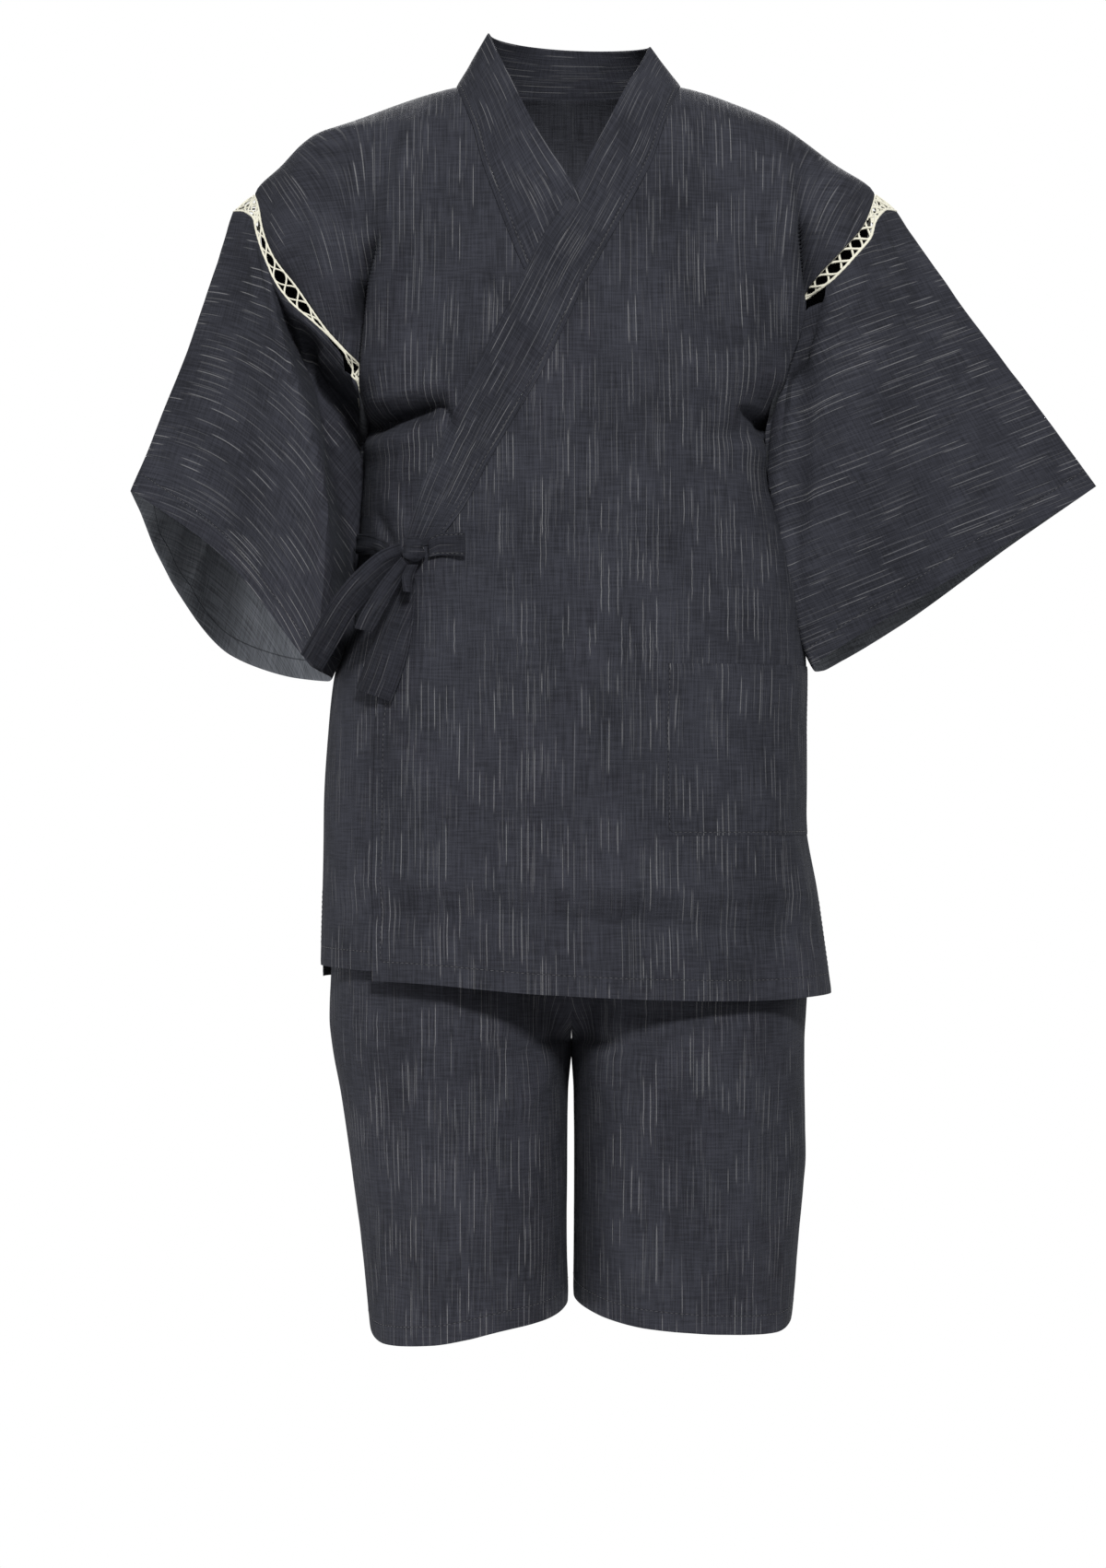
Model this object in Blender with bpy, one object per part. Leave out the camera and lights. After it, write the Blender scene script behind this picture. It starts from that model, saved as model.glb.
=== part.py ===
"""Jinbei set: a wrapped short-sleeved jacket tied at the wearer's right, and knee shorts.

All tables are in millimetres. +X is the wearer's left, -Y the front, +Z up, and the
origin is at the shoulder line, between the two neck points. Every piece of cloth is a
sheet: a grid of points on the garment's form, given a wall half to each side of it.
"""
import math

import bpy
import numpy as np

MM = 0.001
WALL = 1.8            # cotton with its seams, as one wall
COLLAR_WALL = 3.0     # the band is folded double
LACE_WALL = 1.4
HALF_GAP = 0.2        # each sheet stops this far short of the seam line
STEEP_GAP = 0.9       # the same where two sheets meet at a steep turn
LAYER = 4.6           # the over front lies this far outside the under front
LAID_ON = 2.2         # a patch's centre above the panel that it is sewn to
SHOULDER_TIP = -92    # height of the sleeve's top on the body
ARMPIT = -290
SLIT_TOP = -690
JACKET_HEM = -774
COLLAR_END = -396.5   # where the band stops on the front edges
BAND_END_LIFT = 0.7   # keeps the band's ends off the front edges that start below them
CHEST = -110          # below this height the band lies flat on the body
CHEST_BLEND = 30
CROTCH = -818
SHORTS_WAIST = -513
SHORTS_HEM = -1060
WAISTBAND_TOP = -484
POCKET_TOP = -497
POCKET_FOOT = -640
POCKET_COLUMN = 7     # the left front's column under the pocket's inner edge
POCKET_SHARE = 0.479  # and how far across the front that is
HALF_POWER = 2 / 2.2  # the shorts' rings are a little squarer than ellipses


def table(names, rows):
    """Named columns from rows of numbers."""
    return dict(zip(names.split(), np.array(rows, float).T))


# Rings round the body: half-widths to each side, depths, and how square the ring is.
TORSO = table("z right left front back square", [
    (0, 96, 91, 40, 76, 2.0),
    (-9, 128, 122, 52, 82, 2.05),
    (-32, 191, 175, 80, 95, 2.1),
    (-43, 222, 192, 88, 99, 2.15),
    (-92, 270, 260, 104, 107, 2.2),
    (-140, 276, 268, 111, 112, 2.3),
    (-190, 260, 252, 115, 114, 2.3),
    (-240, 225, 218, 118, 116, 2.35),
    (-290, 177, 172, 120, 117, 2.4),
    (-330, 177, 170, 121, 117, 2.4),
    (-363, 179, 179, 123, 117, 2.4),
    (-406, 181, 190, 126, 118, 2.4),
    (-454, 185, 198, 128, 119, 2.4),
    (-506, 203, 201, 130, 120, 2.4),
    (-557, 208, 200, 132, 121, 2.4),
    (-620, 212, 200, 133, 123, 2.4),
    (-690, 213, 211, 134, 126, 2.4),
    (-774, 214, 222, 135, 130, 2.4),
])

# Where the body panels stop for the sleeves, as distances from the middle.
ARMHOLE = table("z right_front left_front right_back left_back", [
    (-105, 266, 254, 265, 254),
    (-125, 262, 244, 259, 248),
    (-150, 252, 223, 248, 236),
    (-180, 230, 200, 229, 218),
    (-215, 206, 190, 207, 199),
    (-250, 184, 178, 190, 184),
    (-275, 178, 173, 180, 175),
])

# The band's sewn edge, and the free edge across from it. A free edge with no depth
# (y = nan) lies on the body.
NAN = float("nan")
BAND_LEFT = table("z sewn_x free_x free_y free_z", [
    (0, 90.8, 66, -8, 33),
    (-20, 83.5, 58, -31, 15),
    (-43, 76, 48, -56, -4),
    (-76, 64.5, 31, -78, -39),
    (-105, 50, 16, -91, -68),
    (-125, 39, 5, -99, -92),
    (-150, 25, -9.5, NAN, -117),
    (-180, 8.5, -26, NAN, -143),
    (-215, -8, -45, NAN, -181),
    (-250, -25, -63, NAN, -217),
    (-290, -48, -85, NAN, -262),
    (-330, -70, -105, NAN, -305),
    (-363, -87, -121, NAN, -345),
    (COLLAR_END, -109, -138, NAN, -403),
])
BAND_RIGHT = table("z sewn_x free_x free_y free_z", [
    (0, -95.8, -70, -6, 45),
    (-20, -89.5, -62, -29, 24),
    (-43, -82, -51, -54, -1),
    (-76, -73, -35, -77, -36),
    (-105, -62.5, -19, -90, -64),
    (-125, -54.5, -6, -97, -84),
    (-150, -44.5, 5, NAN, -104),
    (-180, -31, 17, NAN, -143),
    (-215, -15, 33, NAN, -183),
    (-250, 1, 50, NAN, -221),
    (-290, 24, 71, NAN, -264),
    (-330, 46, 92, NAN, -306),
    (-363, 63, 109, NAN, -341),
    (COLLAR_END, 85, 128, NAN, -388),
])

# The front edges below the band.
FREE_EDGE = table("z over under", [
    (-404, -138, 114),
    (-454, -149, 126),
    (-506, -156.5, 133),
    (-557, -162, 138),
    (-620, -163.5, 139),
    (-774, -164, 140),
])

# Jacket hems by distance across.
HEM = table("x over under back", [
    (-220, -762, -751, -762),
    (-164, -762, -754, -764),
    (-21, -772, -760, -768),
    (92, -777, -762, -768),
    (151, -778, -762, -770),
    (223, -775, -762, -772),
])

# The largest folds of the jacket: a soft ridge (or, if negative, a trough) from a to b.
FOLDS = [
    # side, ax, az, bx, bz, height, half_width
    ("front", -118, -40, -172, -205, 6.0, 17),
    ("front", -92, -120, -118, -262, -3.5, 22),
    ("front", -152, -132, -184, -230, -6.0, 12),
    ("front", -178, -296, -108, -277, -6.0, 10),
    ("front", 128, -150, 150, -282, 4.0, 24),
    ("front", 172, -296, 112, -306, -5.0, 9),
    ("front", 60, -330, 96, -480, 3.0, 30),
    ("front", -60, -430, -128, -412, 3.0, 9),
    ("back", -150, -200, -60, -330, 4.0, 24),
    ("back", 150, -200, 70, -330, 4.0, 24),
    ("back", 0, -420, 10, -700, 3.0, 34),
]

# Sleeve openings: points round the cuff from the top crease, down the front, and back up.
CUFF = table("place right_x right_y right_z left_x left_y left_z", [
    (0, -380, 15, -343, 453, 15, -340),
    (2, -296, -48, -404, 328, -25, -419),
    (4, -218, -82, -499, 205, -46, -497),
    (6, -204, -46, -507, 210, -18, -504),
    (8, -208, 6, -509, 217, 10, -506),
    (10, -240, 62, -505, 236, 38, -500),
    (12, -299, 88, -484, 290, 60, -466),
    (14, -346, 60, -425, 380, 44, -396),
    (16, -380, 15, -343, 453, 15, -340),
])
# How far each line of the sleeve is pushed at half its length.
PUSH = table("place right_x right_y right_z left_x left_y left_z", [
    (0, 6, 0, 5, 0, 0, 0),
    (2, 10, -10, 4, 0, -10, 2),
    (4, 22, -20, 0, -12, -10, 0),
    (5, 16, 8, 0, -10, -6, 0),
    (6, 10, 15, 0, -5, 2, 0),
    (7, 4, 14, 0, -6, 12, 0),
    (8, 3, 3, 0, 0, 18, 0),
    (10, -4, 8, 0, -6, 22, 0),
    (12, -8, 12, 0, 0, 12, 0),
    (14, 0, 10, 4, 0, 8, 2),
    (16, 6, 0, 5, 0, 0, 0),
])
# Lace width round the armhole, from the shoulder tip to the armpit.
LACE = table("place right_front left_front back", [
    (0, 26, 24, 24),
    (1, 13, 13, 19),
    (2, 9, 14, 16),
    (3, 10, 14.5, 15),
    (4, 14, 8, 14),
    (5, 5.5, 3.4, 12.5),
    (6, 8, 3, 10.5),
    (7, 4, 2.8, 7),
    (8, 2.6, 2.6, 2.6),
])

# Hips of the shorts, and one tube for each leg.
HIPS = table("z right left front back", [
    (-513, 166, 166, 110, 104),
    (-600, 186, 185, 115, 108),
    (-700, 200, 198, 116, 110),
    (-818, 207, 202, 115, 112),
])
LEGS = table("z right_out right_in left_out left_in front back", [
    (-513, 166, 0, 166, 0, 104, 100),
    (-600, 186, 0, 185, 0, 104, 100),
    (-700, 200, 0, 198, 0, 105, 102),
    (-754, 205, 0, 202, 0, 107, 105),
    (-797, 207, 0, 200, 0, 109, 108),
    (-818, 205, 0, 199, 0, 109, 110),
    (-862, 197, 3.6, 199, 2.4, 108, 111),
    (-909, 190, 4, 199, 2.6, 107, 110),
    (-988, 179, 4.5, 194, 2.4, 105, 108),
    (-1060, 172, 3.5, 188, 2.0, 104, 106),
])
# Shorts hems, from the side seam (0) to the inside of the leg (1).
LEG_HEM = table("place right left back", [
    (0, -1061, -1051, -1056),
    (0.2, -1070, -1060, -1060),
    (0.4, -1067, -1058, -1058),
    (0.6, -1055, -1053, -1052),
    (0.8, -1047, -1043, -1043),
    (1, -1035, -1031, -1033),
])

# Tie ends that lie on the jacket: two edges, and how far out of the under layer.
STRAP_FRONT = table("ax az bx bz out", [
    (-87, -388, -86, -408, 8.4),
    (-105, -388, -104, -407, 8.8),
    (-114.5, -392, -114.5, -408, 10),
])
STRAP_SIDE = table("ax az bx bz out", [
    (-178, -384, -179, -401, 3.4),
    (-175, -385, -175.5, -402, 3.6),
    (-170, -386, -170.5, -403, 4),
    (-163, -388, -163, -404, 5),
    (-154, -392, -154, -407, 9),
    (-145, -396, -145, -408, 13),
])
TAIL_RIGHT = table("ax az bx bz out", [
    (-138, -417, -127, -417, 10),
    (-146, -438, -126, -440, 10),
    (-157, -468, -130, -476, 10),
    (-166, -494, -137, -504, 10),
    (-174, -517, -145, -529, 10.5),
])
# Tie ends that hang free: two edges in full.
TAIL_LEFT = table("ax ay az bx by bz", [
    (-144, -106, -395, -143, -106, -407),
    (-158, -110, -397, -151, -108, -414),
    (-181, -114, -407, -166, -112, -430),
    (-203, -114, -431, -184, -111, -449),
    (-217, -112, -460, -198, -108, -475),
    (-225, -108, -490, -210, -105, -503),
])
LOOP_SIDE = table("ax ay az bx by bz", [
    (-142, -118, -408, -136, -119, -415.5),
    (-161, -122, -432, -148, -122, -438),
    (-176, -120, -456, -160, -119, -460),
    (-181, -115, -467, -166, -115, -470),
    (-177, -110.5, -457, -161, -110.5, -461),
    (-168, -110.5, -443, -154, -110.5, -448),
])
LOOP_FRONT = table("ax ay az bx by bz", [
    (-137, -125, -415, -128, -125, -415),
    (-141, -126, -426, -132, -126, -427),
    (-140, -124, -437, -133, -124, -438),
])
# The free edge of the band round the back of the neck, and its height.
NECK = dict(half_x=68, x=-2, half_y=73, y=-7, z=33, rise=12, arch=3)
WAIST = dict(half_x=166, front=110, back=104, points=32)
KNOT = dict(x=-131, y=-117, z=-402, half_x=10.5, half_y=8.5, half_z=12)

BODY_ROWS = [0, -9, -20, -32, -43, -60, -76, -92, -105, -125, -150, -180, -215, -250, -275, -290]
LOWER_ROWS = [-330, -363, COLLAR_END, -404, -450, -497, -568, -640, SLIT_TOP, -732, JACKET_HEM]
SHORTS_ROWS = [-513, -580, -640, -700, -735, -762, -785, -803, -814, CROTCH,
               -850, -905, -970, -1020, -1060]


def smooth_at(xs, ys, x):
    """A smooth curve through a table's points that never overshoots them."""
    order = np.argsort(xs)
    xs, ys = np.asarray(xs)[order], np.asarray(ys)[order]
    steps = np.diff(xs)
    grades = np.diff(ys) / steps
    slopes = np.zeros(len(xs))
    slopes[0], slopes[-1] = grades[0], grades[-1]
    left, right = grades[:-1], grades[1:]
    both = left * right > 0
    slopes[1:-1][both] = 2 * left[both] * right[both] / (left[both] + right[both])
    x = np.clip(x, xs[0], xs[-1])
    k = np.clip(np.searchsorted(xs, x, side="right") - 1, 0, len(steps) - 1)
    t = (x - xs[k]) / steps[k]
    rise = ys[k] * (1 + 2 * t) * (1 - t) ** 2 + ys[k + 1] * t * t * (3 - 2 * t)
    return rise + steps[k] * (slopes[k] * t * (1 - t) ** 2 - slopes[k + 1] * t * t * (1 - t))


def column(tab, name, where, key="z"):
    return smooth_at(tab[key], tab[name], where)


def ease(t):
    t = np.clip(t, 0.0, 1.0)
    return t * t * (3 - 2 * t)


def unit(v):
    return v / np.maximum(np.linalg.norm(v, axis=-1, keepdims=True), 1e-9)


def torso_sizes(turn, z):
    half = np.where(np.sin(turn) < 0, column(TORSO, "right", z), column(TORSO, "left", z))
    depth = np.where(np.cos(turn) > 0, column(TORSO, "front", z), column(TORSO, "back", z))
    return half, depth, column(TORSO, "square", z)


def fold_height(x, y, z):
    """How far the cloth's main folds carry it out of its form."""
    total = np.zeros_like(x)
    for side, ax, az, bx, bz, height, half_width in FOLDS:
        run = np.array([bx - ax, bz - az], float)
        along = ((x - ax) * run[0] + (z - az) * run[1]) / (run @ run)
        near = np.clip(along, 0, 1)
        off = np.hypot(x - ax - near * run[0], z - az - near * run[1]) / half_width
        facing = (y < 0) if side == "front" else (y > 0)
        total += facing * height * np.exp(-off * off)
    return total


def torso(turn, z, out=0.0):
    """The body at a turn from centre front (in degrees, + to the wearer's left)."""
    turn, z = np.broadcast_arrays(np.radians(turn), np.asarray(z, float))
    half, depth, square = torso_sizes(turn, z)
    s, c = np.sin(turn), np.cos(turn)
    across = np.sign(s) * np.abs(s) ** (2 / square)
    along = -np.sign(c) * np.abs(c) ** (2 / square)
    x, y = half * across, depth * along
    facing = unit(np.stack([
        np.sign(across) * np.abs(across) ** (square - 1) / half,
        np.sign(along) * np.abs(along) ** (square - 1) / depth,
    ], -1))
    out = out + fold_height(x, y, z) * ease(np.abs(c) * 2.2)
    return np.stack([x + facing[..., 0] * out, y + facing[..., 1] * out, z], -1)


def turn_at(x, z, back=False):
    """The turn at which the body is this far across."""
    half = np.where(x < 0, column(TORSO, "right", z), column(TORSO, "left", z))
    share = np.clip(np.abs(x) / half, 0, 1) ** (column(TORSO, "square", z) / 2)
    turn = np.sign(x) * np.degrees(np.arcsin(share))
    return 180 - turn if back else turn


def over_out(turn, z):
    """The over layer's height above the under one: nothing at the shoulder and side."""
    below_shoulder, towards_side = (-z - 14) / 60, (turn - 50) / 38
    return LAYER * ease(below_shoulder) * (1 - ease(towards_side))


def laid(x, z, out):
    return torso(turn_at(x, z), z, out)


class Sheet:
    """Cloth as a grid of points, with the way it faces at each."""

    def __init__(self, name, points, wall=WALL, ring=False, gap=HALF_GAP):
        self.name, self.points, self.wall, self.ring = name, points, wall, ring
        self.gap = gap
        self.facing = self.face_all()

    def face_all(self):
        down = np.gradient(self.points, axis=0)
        if self.ring:
            across = np.roll(self.points, -1, 1) - np.roll(self.points, 1, 1)
        else:
            across = np.gradient(self.points, axis=1)
        return unit(np.cross(down, across))


def share_seams(sheets):
    """Sheets that meet at a seam face the same way there, so their edges stay parallel."""
    met = {}
    for sheet in sheets:
        flat = sheet.points.reshape(-1, 3)
        for i, spot in enumerate(map(tuple, np.round(flat, 3))):
            met.setdefault(spot, []).append((sheet, i))
    for group in met.values():
        if len(group) < 2:
            continue
        mean = unit(sum(s.facing.reshape(-1, 3)[i] for s, i in group))
        for sheet, i in group:
            sheet.facing.reshape(-1, 3)[i] = mean


def drawn_in(sheet):
    """The grid with its edges pulled back from the seam lines."""
    p, q, gap = sheet.points.copy(), sheet.points, sheet.gap
    p[0] += unit(q[1] - q[0]) * gap
    p[-1] += unit(q[-2] - q[-1]) * gap
    if not sheet.ring:
        p[:, 0] += unit(q[:, 1] - q[:, 0]) * gap
        p[:, -1] += unit(q[:, -2] - q[:, -1]) * gap
    return p


def wall_faces(rows, cols, ring):
    """Triangles of a wall: its outside, its inside, and the rims that close it."""
    size = rows * cols
    faces = []

    def quad(a, b, c, d):
        faces.append((a, b, c))
        faces.append((a, c, d))

    for r in range(rows - 1):
        for c in range(cols if ring else cols - 1):
            n = (c + 1) % cols
            a, b, e, f = r * cols + c, r * cols + n, (r + 1) * cols + n, (r + 1) * cols + c
            quad(a, b, e, f)
            faces.append((a + size, e + size, b + size))
            faces.append((a + size, f + size, e + size))
    for c in range(cols if ring else cols - 1):
        n, last = (c + 1) % cols, (rows - 1) * cols
        quad(n, c, c + size, n + size)
        quad(last + c, last + n, last + n + size, last + c + size)
    if not ring:
        for r in range(rows - 1):
            a, b, end = r * cols, (r + 1) * cols, cols - 1
            quad(a, b, b + size, a + size)
            quad(b + end, a + end, a + end + size, b + end + size)
    return faces


def volume_sign(points, faces):
    a, b, c = (points[[f[i] for f in faces]] for i in range(3))
    return np.einsum("ij,ij->i", a, np.cross(b, c)).sum()


def make_object(name, points, faces, parent, look):
    if volume_sign(points, faces) < 0:
        faces = [f[::-1] for f in faces]
    mesh = bpy.data.meshes.new(name)
    mesh.from_pydata([tuple(p) for p in points * MM], [], faces)
    mesh.polygons.foreach_set("use_smooth", [True] * len(mesh.polygons))
    mesh.set_sharp_from_angle(angle=math.radians(45))
    mesh.materials.append(material(name, look))
    obj = bpy.data.objects.new(name, mesh)
    bpy.context.scene.collection.objects.link(obj)
    obj.parent = parent
    return obj


def build_wall(sheet, parent, look):
    rows, cols = sheet.points.shape[:2]
    p = drawn_in(sheet).reshape(-1, 3)
    n = sheet.facing.reshape(-1, 3) * sheet.wall / 2
    points = np.concatenate([p + n, p - n])
    return make_object(sheet.name, points, wall_faces(rows, cols, sheet.ring), parent, look)


COTTON = ((0.036, 0.038, 0.047), 0.9)
BAND_COTTON = ((0.032, 0.034, 0.042), 0.9)
CROCHET = ((0.74, 0.72, 0.58), 0.8)


def material(name, look):
    colour, rough = look
    made = bpy.data.materials.new(name + "_cloth")
    made.use_nodes = True
    shader = made.node_tree.nodes["Principled BSDF"]
    shader.inputs["Base Color"].default_value = (*colour, 1)
    shader.inputs["Roughness"].default_value = rough
    made.diffuse_color = (*colour, 1)
    return made


# ---------------------------------------------------------------- jacket body

def armhole_turns(side, half):
    """Turns of the armhole edge at each of the upper rows, from the tip to the armpit."""
    rows = [z for z in BODY_ROWS if z <= SHOULDER_TIP]
    sign = 1 if side == "left" else -1
    turns = []
    for z in rows:
        if z in (SHOULDER_TIP, ARMPIT):
            turns.append(sign * 90.0 if half == "front" or sign > 0 else 270.0)
            continue
        x = sign * float(column(ARMHOLE, f"{side}_{half}", z))
        turns.append(float(turn_at(x, z, back=half == "back")))
    return dict(zip(rows, turns))


def side_turn(side, half, z, arms):
    """Where a body panel ends at its side: shoulder seam, armhole, side seam or slit."""
    if z in arms:
        return arms[z]
    sign = 1 if side == "left" else -1
    open_by = 2.5 * ease((SLIT_TOP - z) / (SLIT_TOP - JACKET_HEM))
    if half == "front":
        return sign * (90 - open_by)
    return 90 + open_by if side == "left" else 270 - open_by


def dropped(z, x, hem):
    """Rows near the hem follow its own line."""
    share = ease((-640 - z) / (-640 - JACKET_HEM))
    return z + share * (column(HEM, hem, x, "x") - JACKET_HEM)


def body_sheet(name, starts, ends, shares, hem, out):
    """A body panel between a start and an end turn on every row."""
    rows = []
    for z in BODY_ROWS + LOWER_ROWS:
        turns = starts[z] + (ends[z] - starts[z]) * shares
        x = torso(turns, z)[:, 0]
        level = dropped(z, x, hem)
        rows.append(torso(turns, level, out(turns, level)))
    return Sheet(name, np.array(rows))


def front_edge_turn(band, edge, z):
    """The turn of a front's inner edge: the band's seam, then the free edge."""
    if z >= COLLAR_END:
        x = float(column(band, "sewn_x", z))
    else:
        x = float(column(FREE_EDGE, edge, z))
    return float(turn_at(x, z))


def left_front_sheet():
    arms = armhole_turns("left", "front")
    rows = BODY_ROWS + LOWER_ROWS
    starts = {z: front_edge_turn(BAND_LEFT, "over", z) for z in rows}
    ends = {z: side_turn("left", "front", z, arms) for z in rows}
    inner = np.linspace(0, POCKET_SHARE, POCKET_COLUMN + 1)
    shares = np.concatenate([inner, np.linspace(POCKET_SHARE, 1, 8)[1:]])
    return body_sheet("left_front", starts, ends, shares, "over", over_out)


def right_front_sheet():
    arms = armhole_turns("right", "front")
    rows = BODY_ROWS + LOWER_ROWS
    starts = {z: side_turn("right", "front", z, arms) for z in rows}
    ends = {z: front_edge_turn(BAND_RIGHT, "under", z) for z in rows}
    return body_sheet("right_front", starts, ends, np.linspace(0, 1, 13), "under",
                      lambda turn, z: 0.0 * turn)


def back_sheet():
    left, right = armhole_turns("left", "back"), armhole_turns("right", "back")
    rows = BODY_ROWS + LOWER_ROWS
    starts = {z: side_turn("left", "back", z, left) for z in rows}
    ends = {z: side_turn("right", "back", z, right) for z in rows}
    return body_sheet("back", starts, ends, np.linspace(0, 1, 17), "back",
                      lambda turn, z: 0.0 * turn)


def band_rows(band, front, edge_column, out):
    """Sewn and free edges of the band down one front."""
    rows = [z for z in BODY_ROWS + LOWER_ROWS if z >= COLLAR_END]
    sewn = front.points[: len(rows), edge_column].copy()
    stands = ~np.isnan(band["free_y"])
    heights, depths = band["z"][stands], band["free_y"][stands]
    free = []
    for z in rows:
        x, free_z = float(column(band, "free_x", z)), float(column(band, "free_z", z))
        if z >= heights[-1]:
            free.append(np.array([x, float(smooth_at(heights, depths, z)), free_z]))
        else:
            free.append(laid(x, free_z, out(turn_at(x, free_z), free_z)))
    sewn[-1, 2] += BAND_END_LIFT
    free[-1][2] += BAND_END_LIFT
    return sewn, np.array(free)


def collar_sheet(left_front, right_front, back):
    """One band: up the over front, round the back of the neck, down the under front."""
    left_sewn, left_free = band_rows(BAND_LEFT, left_front, 0, over_out)
    right_sewn, right_free = band_rows(BAND_RIGHT, right_front, -1, lambda turn, z: 0.0)
    neck_sewn = back.points[0]
    round_neck = np.linspace(0, math.pi, len(neck_sewn))
    neck_free = np.stack([
        NECK["x"] + NECK["half_x"] * np.cos(round_neck),
        NECK["y"] + NECK["half_y"] * np.sin(round_neck),
        NECK["z"] + NECK["rise"] * round_neck / math.pi + NECK["arch"] * np.sin(round_neck),
    ], -1)
    sewn = np.concatenate([left_sewn[::-1], neck_sewn, right_sewn])
    free = np.concatenate([left_free[::-1], neck_free, right_free])
    points = np.array([sewn * (1 - t) + free * t for t in np.linspace(0, 1, 4)])
    points[1:3] = eased_onto_body(points[1:3], len(left_sewn), len(right_sewn))
    return Sheet("collar", points.transpose(1, 0, 2), wall=COLLAR_WALL, gap=STEEP_GAP)


def eased_onto_body(inner, left, right):
    """The band's middle follows the body's curve where both its edges lie on it."""
    moved = inner.copy()
    for row in moved:
        for i, p in enumerate(row):
            on_left, on_right = i < left, i >= len(row) - right
            if not (on_left or on_right) or p[2] > CHEST:
                continue
            turn = turn_at(p[0], p[2])
            out = over_out(turn, p[2]) if on_left else 0.0
            share = float(ease((CHEST - p[2]) / CHEST_BLEND))
            row[i] = p * (1 - share) + laid(p[0], p[2], out) * share
    return moved


def pocket_sheet(left_front):
    """The patch pocket: the front's own points between the pocket's edges, moved out."""
    rows = BODY_ROWS + LOWER_ROWS
    top, foot = rows.index(POCKET_TOP), rows.index(POCKET_FOOT)
    points = left_front.points[top:foot + 1, POCKET_COLUMN:]
    facing = left_front.facing[top:foot + 1, POCKET_COLUMN:]
    return Sheet("pocket", points + facing * LAID_ON)


# ------------------------------------------------------------ lace and sleeves

def armhole_ring(side, front, back):
    """Body points round the armhole: tip, down the front, armpit, and up the back."""
    rows = BODY_ROWS
    at = [rows.index(z) for z in rows if z <= SHOULDER_TIP]
    front_col = -1 if side == "left" else 0
    back_col = 0 if side == "left" else -1
    down = front.points[at, front_col]
    up = back.points[at, back_col][::-1]
    return np.concatenate([down, up[1:-1]])


def sleeve_edge(side, ring):
    """The sleeve's own edge, one lace width out from the armhole."""
    sign = 1 if side == "left" else -1
    place = np.arange(len(ring))
    fall = np.minimum(place, 16 - place)
    width = np.where(place <= 8, column(LACE, side + "_front", fall, "place"),
                     column(LACE, "back", fall, "place"))
    swing = np.sin(np.pi * fall / 8) * np.where(place <= 8, -1, 1)
    low = ease(fall / 8)
    way = unit(np.stack([
        sign * (0.78 + 0.12 * low), 0.34 * swing, -0.62 + 0.19 * low,
    ], -1))
    return ring + way * width[:, None]


def lace_sheet(side, ring, edge):
    """The crochet strip from near the armpit, over the tip, to near it at the back."""
    order = [(i % 16) for i in range(-7, 8)]
    inner, outer = ring[order], edge[order]
    points = np.stack([inner, (inner + outer) / 2, outer])
    if side == "left":
        points = points[:, ::-1]
    return Sheet("lace_" + side, points, wall=LACE_WALL, gap=0.3)


def sleeve_sheet(side, edge):
    """A tube from the armhole to the cuff, each of its lines pushed at half length."""
    place = np.arange(16)
    cuff = np.stack([column(CUFF, f"{side}_{k}", place, "place") for k in "xyz"], -1)
    push = np.stack([column(PUSH, f"{side}_{k}", place, "place") for k in "xyz"], -1)
    rows = []
    for t in np.linspace(0, 1, 10):
        rows.append(edge * (1 - t) + cuff * t + push * 4 * t * (1 - t))
    points = np.array(rows)
    return Sheet("sleeve_" + side, points[:, ::-1] if side == "left" else points, ring=True)


# ---------------------------------------------------------------------- shorts

def signed_power(v):
    return np.sign(v) * np.abs(v) ** HALF_POWER


def leg_point(side, front, share, z):
    """A point of the shorts: share 0 at the side seam, 1 at the centre or inseam."""
    sign = 1 if side == "left" else -1
    fore = "front" if front else "back"
    turn = share * math.pi / 2
    hip = np.stack([
        column(HIPS, side, z) * np.cos(turn) ** HALF_POWER,
        column(HIPS, fore, z) * np.sin(turn) ** HALF_POWER,
    ], -1)
    turn = share * math.pi
    outer, inner = column(LEGS, side + "_out", z), column(LEGS, side + "_in", z)
    swing = np.cos(turn)
    leg = np.stack([
        (outer + inner) / 2 + (outer - inner) / 2 * signed_power(swing),
        column(LEGS, fore, z) * np.abs(np.sin(turn)) ** HALF_POWER,
    ], -1)
    wide = ease((-560 - z) / (-560 - CROTCH))
    fall = np.clip((-640 - z) / (-640 - CROTCH), 0, 1)
    rise = 1 - np.sqrt(1 - fall * fall)
    mix = (wide * (1 - share ** 5) + rise * share ** 5)[:, None]
    flat = hip * (1 - mix) + leg * mix
    return np.stack([sign * flat[:, 0], (-1 if front else 1) * flat[:, 1]], -1)


def leg_sheet(side, front):
    shares = np.linspace(0, 1, 9)
    hem = column(LEG_HEM, side if front else "back", shares, "place")
    rows = []
    for z in SHORTS_ROWS:
        pull = ease((-900 - z) / (-900 - SHORTS_HEM))
        flat = leg_point(side, front, shares, float(z))
        rows.append(np.column_stack([flat, z + pull * (hem - SHORTS_HEM)]))
    points = np.array(rows)
    faces_out = (side == "left") != front
    fore = "front" if front else "back"
    return Sheet(f"shorts_{side}_{fore}", points if faces_out else points[:, ::-1])


def waistband_sheet():
    turn = np.linspace(0, 2 * math.pi, WAIST["points"], endpoint=False)
    rows = []
    for z, drawn in ((WAISTBAND_TOP, 3), (-499, 1), (SHORTS_WAIST + 1, 0)):
        depth = np.where(np.sin(turn) < 0, WAIST["front"], WAIST["back"]) - drawn
        x = (WAIST["half_x"] - drawn) * signed_power(np.cos(turn))
        y = depth * signed_power(np.sin(turn))
        rows.append(np.column_stack([x, y, np.full(len(turn), float(z))]))
    return Sheet("waistband", np.array(rows), wall=COLLAR_WALL, ring=True)


# ------------------------------------------------------------------------- tie

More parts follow.
